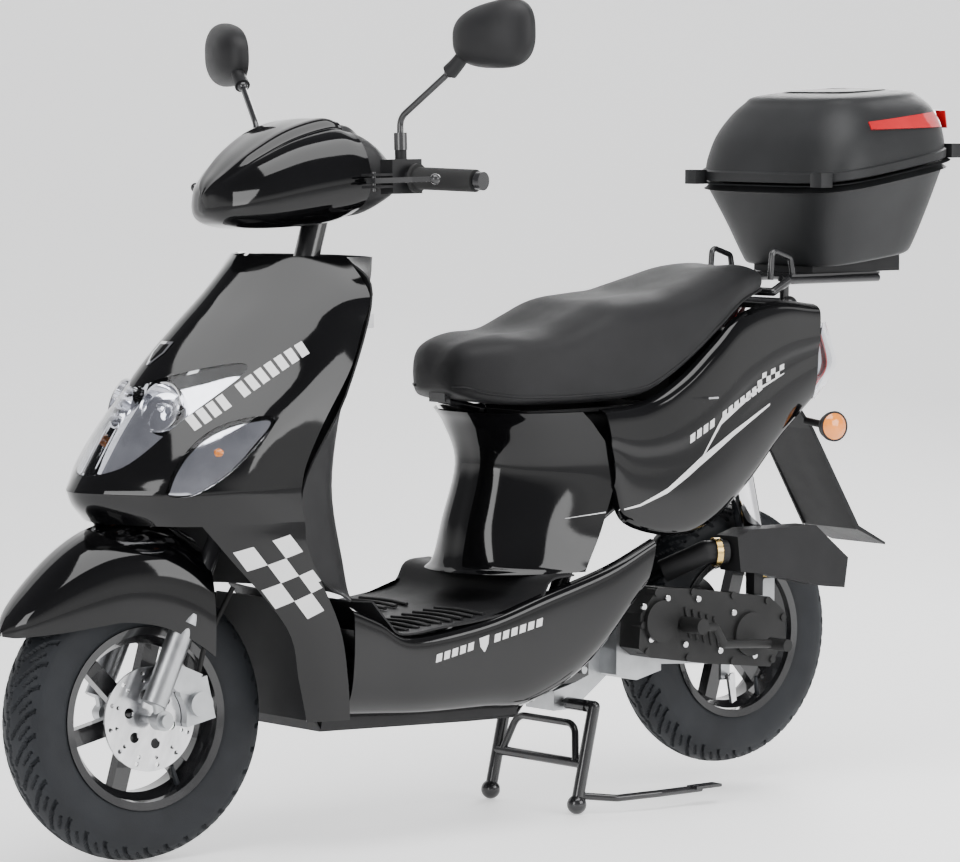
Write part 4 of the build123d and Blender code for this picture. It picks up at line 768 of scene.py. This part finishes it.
def seat_base():
    """The panel under the seat's nose, pinched at the waist and flared to the floor."""
    levels = [(394, [(-176, 142), (-92, 124), (-34, 86), (-8, 38), (-5, 0)]),
              (410, [(-184, 142), (-100, 118), (-46, 80), (-20, 34), (-16, 0)]),
              (470, [(-214, 142), (-114, 110), (-62, 76), (-32, 34), (-29, 0)]),
              (560, [(-236, 146), (-138, 106), (-88, 74), (-58, 34), (-54, 0)]),
              (620, [(-200, 140), (-116, 114), (-72, 84), (-46, 40), (-40, 0)]),
              (648, [(-172, 138), (-98, 122), (-56, 92), (-26, 42), (-20, 0)])]
    rows = [both_ways([(x, y, z) for x, y in half]) for z, half in levels]
    cover = panel("seat_base_shell", rows, BLACK, "chassis", 3.0, across=6, along=6)
    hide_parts("seat_base_cover")


TAIL_TOP = [(-206, 648), (-300, 656), (-382, 690), (-462, 742), (-536, 788), (-640, 806), (-746, 797)]
TAIL_LOW = [(-232, 524), (-262, 468), (-372, 441), (-462, 456), (-558, 514), (-640, 580), (-730, 640)]
TAIL_WIDTH = [(-206, 152), (-300, 149), (-400, 146), (-480, 136), (-560, 122), (-660, 104), (-766, 84)]


def tail_half_width(x):
    for (x0, y0), (x1, y1) in zip(TAIL_WIDTH, TAIL_WIDTH[1:]):
        if x >= x1:
            return y0 + (y1 - y0) * min(1.0, max(0.0, (x0 - x) / (x0 - x1)))
    return TAIL_WIDTH[-1][1]


def tail_panels():
    """The glossy side panels, full in the middle, rolled in along both edges."""
    roll = [(0.0, -14), (0.03, -3), (0.10, 2.5), (0.34, 5), (0.46, 3), (0.70, 4), (0.9, 0), (0.97, -5),
            (1.0, -14)]
    for side in (1, -1):
        rows = []
        for share, out in roll:
            row = []
            for (xt, zt), (xl, zl) in zip(TAIL_TOP, TAIL_LOW):
                x = xt + (xl - xt) * share
                row.append((x, side * (tail_half_width(x) + out), zt + (zl - zt) * share))
            rows.append(row)
        shell = panel("tail_panel_" + ("left" if side > 0 else "right"), rows, BLACK, "chassis", 3.0,
                      across=6, along=5,
                      offset=1.0 if side > 0 else -1.0)
        if side > 0:
            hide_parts("tail_panels")


def tail_light():
    """The tail lamp: a red centre with a clear wrap at each side over a bright dish."""
    profile = [(-742, 772), (-770, 764), (-795, 702), (-770, 668), (-744, 642)]
    rows = []
    for x, z in profile:
        rows.append([(x + abs(y) ** 2 * 0.0042, y, z) for y in (88, 70, 40, 0, -40, -70, -88)])
    lens = panel("tail_lens", rows, RED, "chassis", 3.0, across=5, along=6, offset=1.0)
    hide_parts("tail_light")
    for side in (1, -1):
        edges = [(-750, -770, 769), (-744, -786, 735), (-738, -796, 700), (-733, -776, 668),
                 (-728, -746, 643)]
        wing = [[(front + (rear - front) * k, side * (90 - 14 * k * k), z) for k in (0, 0.5, 1.0)] for front,
                rear, z in edges]
        flank = panel("tail_lens_wing", wing, CLEAR, "chassis", 2.6, across=5, along=5,
                      offset=1.0 if side > 0 else -1.0)
        dish = [[(x + 5, y - side * 5, z) for x, y, z in row] for row in wing]
        backing = panel("tail_lens_dish", dish, CHROME, "chassis", 1.5, across=4, along=4,
                        offset=1.0 if side > 0 else -1.0)


def rear_indicators():
    """Round amber lamps in dark cups on short stalks, turned outwards."""
    for side in (1, -1):
        axis = Vector((0.25, side, 0.05)).normalized()
        centre = (-752, side * 112, 597)
        cup = [(0.1, -12), (12, -12), (21, -5), (25, 6), (25.5, 12), (23, 12), (0.1, 9)]
        shell = spin("indicator_cup", cup, centre, MATTE, "chassis", axis, 64, closed=False)
        dome = [(0.1, 21), (9, 20), (17, 17), (22, 12.5), (22, 9), (0.1, 9)]
        lens = spin("indicator_dome", dome, centre, AMBER, "chassis", axis, 64, closed=False)
        stalk = tube("indicator_stalk",
                     [(-742, side * 63, 604), (-746, side * 84, 601), (-750, side * 104, 598)], 6.5, MATTE,
                     "chassis", sides=16)
        if side > 0:
            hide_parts("rear_indicators")


def mirrors():
    """Mirror heads with a rounded shell, and the glass in a thin frame."""
    for side, name in ((1, "left"), (-1, "right")):
        centre = Vector((164, side * 358, 1224))
        turn = Matrix.Rotation(math.radians(16 * side), 3, "Z")

        def ring(x, scale, grow=0.0):
            points = []
            for k in range(56):
                a = 2 * math.pi * k / 56
                c, s = math.cos(a), math.sin(a)
                y = math.copysign(abs(c) ** 0.74, c) * (72 * scale + grow)
                z = math.copysign(abs(s) ** 0.74, s) * (49 * scale + grow) + y * side * 0.06
                z *= 1 + side * y * 0.0022
                p = centre + turn @ Vector((x, y, z))
                points.append(tuple(p))
            return points

        rings = [ring(5, 0.9), ring(0, 0.94), ring(-1, 0.98), ring(4, 1.01), ring(16, 1.0), ring(28, 0.88),
                 ring(38, 0.62), ring(43, 0.3),
                 ring(44, 0.05)]
        shell = closed_form("mirror_shell_" + name, rings, MATTE, "mirror_" + name, True, 1, 4, angle=50.0)
        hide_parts("mirror_head_" + name)
        glass = closed_form("mirror_glass_" + name, [ring(3, 0.9), ring(1.6, 0.9), ring(1.6, 0.05)], MIRROR,
                            "mirror_" + name,
                            True, 1, 1, angle=30.0)
        neck = tube("mirror_neck_" + name,
                    [(200, side * 284, 1172), (196, side * 298, 1184), (190, side * 320, 1206)],
                    lambda t: 12.5 - 2.5 * t, MATTE, "mirror_" + name, True, 6, 20)


# ---- decals laid on the finished panels ----
def decal(name, shapes, target, material, body, axis="y", lift=0.5, cells=6):
    """Thin foil shapes laid onto a panel: each is four corners, (x, z) seen from the left or (y, z) from the front."""
    graph = bpy.context.evaluated_depsgraph_get()
    tree = BVHTree.FromObject(target, graph)
    toward = Vector((0, -1, 0)) if axis == "y" else Vector((-1, 0, 0))
    vertices, faces = [], []
    for a, b, c, d in shapes:
        start = len(vertices)
        grid = []
        for i in range(cells + 1):
            for k in range(cells + 1):
                s, t = i / cells, k / cells
                top = Vector(a).lerp(Vector(b), s)
                low = Vector(d).lerp(Vector(c), s)
                u, z = top.lerp(low, t)
                origin = place((u, 400, z)) if axis == "y" else place((1100, u, z))
                hit, normal, _, _ = tree.ray_cast(origin, toward)
                if hit is None:
                    grid.append(None)
                    continue
                if normal.dot(toward) > 0:
                    normal = -normal
                grid.append(len(vertices))
                vertices.append(hit + normal * lift * MM)
        for i in range(cells):
            for k in range(cells):
                quad = [grid[i * (cells + 1) + k], grid[(i + 1) * (cells + 1) + k],
                        grid[(i + 1) * (cells + 1) + k + 1], grid[i * (cells + 1) + k + 1]]
                if None not in quad:
                    faces.append(tuple(quad))
    if not faces:
        return None
    foil = make_object(name, vertices, faces, material, body)
    return foil


def dash_row(start, end, height, count, skip=(), fill=0.72, lean=0.35):
    """A row of slanted bars along a line, standing for lettering without being any."""
    a, b = Vector(start), Vector(end)
    step = (b - a) / count
    up = Vector((-step.y, step.x)).normalized() * height
    if up.y < 0:
        up = -up
    slant = step.normalized() * height * lean
    shapes = []
    for k in range(count):
        if k not in skip:
            low = a + step * k
            high_end = low + step * fill
            shapes.append((tuple(low + up + slant), tuple(high_end + up + slant), tuple(high_end),
                           tuple(low)))
    return shapes


def ribbon(points):
    """A tapering band through (x, z, width) points, as quads."""
    shapes = []
    for (x0, z0, w0), (x1, z1, w1) in zip(points, points[1:]):
        shapes.append(((x0, z0 + w0 / 2), (x1, z1 + w1 / 2), (x1, z1 - w1 / 2), (x0, z0 - w0 / 2)))
    return shapes


def checker(a, b, c, d, across, along):
    """The light cells of a chequered field between four corners."""
    a, b, c, d = (Vector(p) for p in (a, b, c, d))

    def spot(s, t):
        return tuple(a.lerp(b, s).lerp(d.lerp(c, s), t))

    return [(spot(i / across, k / along), spot((i + 1) / across, k / along),
             spot((i + 1) / across, (k + 1) / along),
             spot(i / across,
                  (k + 1) / along)) for i in range(across) for k in range(along) if (i + k) % 2 == 0]


def decals():
    """Foil graphics of the left side: chequers on the leg, bars, a swoosh on the tail, a plain shield."""
    shell = bpy.data.objects
    decal("chequer_left", checker((542, 472), (458, 496), (368, 390), (444, 354), 3, 4),
          shell["apron_leg_left"], DECAL, "chassis")
    decal("bars_apron", dash_row((582, 652), (398, 766), 17, 12, (4,)), shell["apron_shell"], DECAL,
          "chassis")
    decal("bars_skirt_front", dash_row((172, 281), (92, 296), 12, 5), shell["side_skirt_left"], DECAL,
          "chassis")
    decal("bars_skirt_rear", dash_row((54, 303), (-50, 323), 12, 6), shell["side_skirt_left"], DECAL,
          "chassis")
    decal("shield_skirt",
          [((84, 312), (64, 316), (66, 302), (82, 299)), ((82, 299), (66, 302), (72, 291), (74, 290))],
          shell["side_skirt_left"], DECAL, "chassis")
    swoosh = [(-236, 488, 2), (-281, 495, 4), (-340, 515, 8), (-388, 541, 12), (-416, 557, 13),
              (-500, 598, 9), (-600, 641, 4)]
    decal("swoosh_tail", ribbon(swoosh), shell["tail_panel_left"], DECAL, "chassis")
    decal("swoosh_flick", ribbon([(-416, 557, 3), (-470, 620, 10), (-560, 664, 5), (-640, 690, 2)]),
          shell["tail_panel_left"], DECAL,
          "chassis")
    decal("swoosh_front", ribbon([(-150, 479, 0.5), (-232, 488, 2)]), shell["seat_base_shell"], DECAL,
          "chassis")
    decal("bars_tail", dash_row((-392, 588), (-584, 668), 13, 12, (4,)), shell["tail_panel_left"], DECAL,
          "chassis")
    decal("chequer_tail", checker((-640, 706), (-566, 690), (-566, 672), (-640, 688), 6, 2),
          shell["tail_panel_left"], DECAL, "chassis")
    badge = [((-14, 778), (14, 778), (14, 762), (-14, 762)), ((-14, 762), (14, 762), (3, 744), (-3, 744))]
    decal("shield_nose", badge, shell["apron_shell"], CHROME, "chassis", axis="x", lift=1.2)
    inner = [((-10, 774), (10, 774), (10, 762), (-10, 762)), ((-10, 762), (10, 762), (2, 750), (-2, 750))]
    decal("shield_nose_field", inner, shell["apron_shell"], BLACK, "chassis", axis="x", lift=1.6)


def case_trim():
    """The red reflector round the lid's back and the side catches."""
    lid = bpy.data.objects["case_lid_shell"]
    for side in (1, -1):
        low_row, high_row = [], []
        for k in range(9):
            share = k / 8
            x = -788 - 206 * share
            low_row.append((x, side, 1090 + 4 * share))
            high_row.append((x, 0, 1102 + 20 * share))
        graph = bpy.context.evaluated_depsgraph_get()
        tree = BVHTree.FromObject(lid, graph)
        rows = []
        for t in (0.0, 0.33, 0.66, 1.0):
            row = []
            for (xl, _, zl), (xh, _, zh) in zip(low_row, high_row):
                x, z = xl + (xh - xl) * t, zl + (zh - zl) * t
                hit, normal, _, _ = tree.ray_cast(place((x, side * 400, z)), Vector((0, -side, 0)))
                hit = hit + normal * 0.0015
                row.append((hit.x / MM - SHIFT_X, hit.y / MM, hit.z / MM))
            rows.append(row)
        strip = panel("case_reflector_" + ("left" if side > 0 else "right"), rows, RED, "case_lid", 2.0,
                      across=3, along=3,
                      offset=0.0)
    rear = [[(-1013 + 5 * t + abs(y) ** 2 * 0.0005, y, 1092 + 30 * t) for y in range(-130, 131,
        20)] for t in (0, 0.5, 1)]
    back = panel("case_reflector_rear", rear, RED, "case_lid", 2.0, across=2, along=4, offset=0.0)
    for x, y, z in ((-687, 150, 1010), (-1008, 138, 1056), (-687, -150, 1010), (-1008, -138, 1056)):
        catch = closed_form("case_catch",
                            [[(x + dx, y + dy, z + dz) for dx,
                              dy in ((-13, -13), (13, -13), (13, 13), (-13, 13))]
                                           for dz in (-14, -10, 4, 10)], CASE, "chassis", around=2, along=3)


def indicator_backs():
    """Bright dishes behind the front indicator lenses."""
    for side in (1, -1):
        back = apron_sheet("indicator_dish_" + ("left" if side > 0 else "right"), CHROME, 1.5)
        for vertex in back.data.vertices:
            vertex.co.y -= side * 0.010 if vertex.co.y * side > 0 else 0
            vertex.co.x -= 0.008
        span = (105, 240) if side > 0 else (-240, -105)
        carve(back, [prism(smooth_outline([(x - 6, z) for x, z in INDICATOR_OUTLINE]), *span)], "INTERSECT")



def engine_trim():
    """Bolt heads and cooling ribs on the belt cover, a gold hose clamp, the shock's bright nut and the valve stem."""
    for x, z in ((-300, 330), (-352, 340), (-420, 334), (-500, 306), (-560, 262), (-548, 232), (-470, 246),
                 (-392, 262), (-316, 276)):
        bolt = spin("cover_bolt", [(0.1, 4), (4.6, 4), (5.4, 3), (5.4, -1), (0.1, -1)], (x, 143, z), STEEL,
                    "swing", (0, 1, 0), 24,
                    closed=False)
    for centre, radius in (((-337, 143, 304), 30), ((-539, 143, 268), 32)):
        for k, r in enumerate((radius, radius * 0.72, radius * 0.44)):
            ring = spin("cover_ring",
                        [(r - 2.2, -1), (r - 1.6, 3 - k * 0.4), (r + 1.6, 3 - k * 0.4), (r + 2.2, -1)],
                        centre, ENGINE_BLACK,
                        "swing", (0, 1, 0), 72)
    for k in range(5):
        rib = tube("cover_rib", [(-392 - 16 * k, 143, 322 - 5 * k), (-404 - 16 * k, 143, 272 - 5 * k)], 2.4,
                   ENGINE_BLACK, "swing", sides=10)
    clamp = spin("hose_clamp", [(22, -5), (23.4, -5), (23.4, 5), (22, 5)], (-486, 116, 404), GOLD, "swing",
                 (0.92, -0.38, 0), 48)
    nut = spin("shock_nut", [(10, -6), (17, -6), (17, 6), (10, 6)], (-625, 72, 352), GOLD, "shock_rod",
               (0.245, 0, 0.97), 6)
    for body, centre, steered in (("front_wheel", Vector((FRONT_X, 0, TYRE_RADIUS)), True),
                                  ("rear_wheel", Vector((REAR_X, 0, REAR_Z)), False)):
        foot = centre + Vector((-60, 26, -104))
        valve = tube("valve_stem", [foot, foot + Vector((12, 9, 20)), foot + Vector((17, 13, 30))],
                     lambda t: 4.2 - 1.6 * t, RUBBER, body,
                     steered, 5, 12)


FRONT = [front_fender, front_apron, front_lamps, indicator_backs, cowl, inner_shield, mirrors]
BACK = [rear_indicators, engine_trim, seat, top_case, floor_board, side_skirts, seat_base, tail_panels,
        tail_light, case_trim, decals]


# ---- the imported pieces: finishes by slot, and softened edges ----
SLOT_FINISH = {
    "gloss_black": BLACK, "matte_black": MATTE, "frame_paint": FRAME_PAINT, "alloy": ALLOY, "steel": STEEL,
    "chrome": CHROME, "tyre": RUBBER, "grip_rubber": GRIP, "clear_lens": CLEAR, "red_lens": RED,
    "amber_lens": AMBER, "seat_cover": SEAT, "rim_paint": RIM_BLACK, "case_black": CASE,
    "engine_black": ENGINE_BLACK,
}
SHARP_NODES = ("headlight_lens", "front_indicators", "headlight_reflector")


def finish_packed_pieces():
    """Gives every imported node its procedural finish, smooth shading and a small rounded edge."""
    for entry in frame["record"]["subparts"]:
        obj = frame["nodes"][entry["node"]]
        obj.data.materials.clear()
        obj.data.materials.append(SLOT_FINISH[entry["material_slot"]])
        obj.data.polygons.foreach_set("use_smooth", [True] * len(obj.data.polygons))
        smooth_by_angle(obj, 32.0)
        if entry["node"] not in SHARP_NODES:
            edge = obj.modifiers.new("edge", "BEVEL")
            edge.width = 0.9 * MM
            edge.segments = 2
            edge.limit_method = "ANGLE"
            edge.angle_limit = math.radians(40.0)
            edge.harden_normals = True


# ---- camera, light and floor ----
def aim_camera():
    yaw, pitch, roll = math.radians(-130.6005), math.radians(-4.3579), math.radians(0.1862)
    look = Vector((math.cos(pitch) * math.cos(yaw), math.cos(pitch) * math.sin(yaw), math.sin(pitch)))
    data = bpy.data.cameras.new("camera")
    data.lens = 176.40
    data.sensor_width = 36.0
    data.shift_x = 0.02052
    data.shift_y = -0.00138
    data.clip_end = 100.0
    camera = bpy.data.objects.new("camera", data)
    camera.matrix_world = (Matrix.Translation((4.90464, 5.64398, 1.18476))
                           @ look.to_track_quat("-Z", "Y").to_matrix().to_4x4() @ Matrix.Rotation(roll, 4,
                               "Z"))
    bpy.context.scene.collection.objects.link(camera)
    bpy.context.scene.camera = camera


def soft_box(name, location, target, size, power, tint=(1.0, 1.0, 1.0)):
    data = bpy.data.lights.new(name, "AREA")
    data.shape = "RECTANGLE"
    data.size, data.size_y = size
    data.energy = power
    data.color = tint
    lamp = bpy.data.objects.new(name, data)
    aim = (Vector(target) - Vector(location)).to_track_quat("-Z", "Y")
    lamp.matrix_world = Matrix.Translation(location) @ aim.to_matrix().to_4x4()
    bpy.context.scene.collection.objects.link(lamp)


def studio():
    """A pale floor that runs into a white surround, and large soft lights."""
    world = bpy.data.worlds.new("studio")
    bpy.context.scene.world = world
    world.use_nodes = True
    tree = world.node_tree
    background = tree.nodes["Background"]
    background.inputs["Strength"].default_value = 1.5
    where = tree.nodes.new("ShaderNodeTexCoord")
    split = tree.nodes.new("ShaderNodeSeparateXYZ")
    tree.links.new(where.outputs["Generated"], split.inputs["Vector"])
    shade = ramp(tree, split.outputs["Z"],
                 [(0.0, (1.0, 1.0, 1.0)), (0.06, (1.0, 1.0, 1.0)), (0.22, (0.24, 0.24, 0.25)),
                                            (1.0, (0.14, 0.14, 0.15))])
    tree.links.new(shade, background.inputs["Color"])
    material, tree, shader = new_material("studio_floor")
    vector = coordinates(tree)
    tree.links.new(ramp(tree, noise(tree, vector, 1.5),
                        [(0.3, (0.86, 0.86, 0.86)), (0.7, (0.88, 0.88, 0.88))]),
                   shader.inputs["Base Color"])
    set_shader(shader, Roughness=0.55, Emission_Color=(1.0, 1.0, 1.0, 1.0), Emission_Strength=0.62)
    mesh = bpy.data.meshes.new("studio_floor")
    profile = [(14.0, 0.0), (-3.0, 0.0)]
    profile += [(-3.0 - 3.0 * math.sin(k * math.pi / 40),
                 3.0 - 3.0 * math.cos(k * math.pi / 40)) for k in range(1, 21)]
    profile += [(-6.0, 9.0)]
    turn = Matrix.Rotation(math.radians(49.4), 3, "Z")
    corners = [turn @ Vector((along, side, up)) for along, up in profile for side in (-14.0, 14.0)]
    mesh.from_pydata([tuple(p) for p in corners], [],
                     [(2 * k, 2 * k + 1, 2 * k + 3, 2 * k + 2) for k in range(len(profile) - 1)])
    mesh.polygons.foreach_set("use_smooth", [True] * len(mesh.polygons))
    mesh.materials.append(material)
    floor = bpy.data.objects.new("studio_floor", mesh)
    bpy.context.scene.collection.objects.link(floor)
    soft_box("overhead", (0.4, 0.8, 3.4), (0.0, 0.0, 0.5), (3.4, 2.4), 150.0)
    soft_box("left_side", (-1.2, 3.6, 1.9), (-0.1, 0.0, 0.6), (2.6, 1.8), 95.0)
    soft_box("front_side", (4.2, 1.2, 1.7), (0.5, 0.0, 0.7), (1.6, 2.2), 80.0)
    soft_box("rear_rim", (-3.4, -1.8, 2.2), (-0.3, 0.0, 0.8), (2.0, 1.6), 70.0)


finish_packed_pieces()
wheels()
for build in FRONT + BACK:
    build()
aim_camera()
studio()
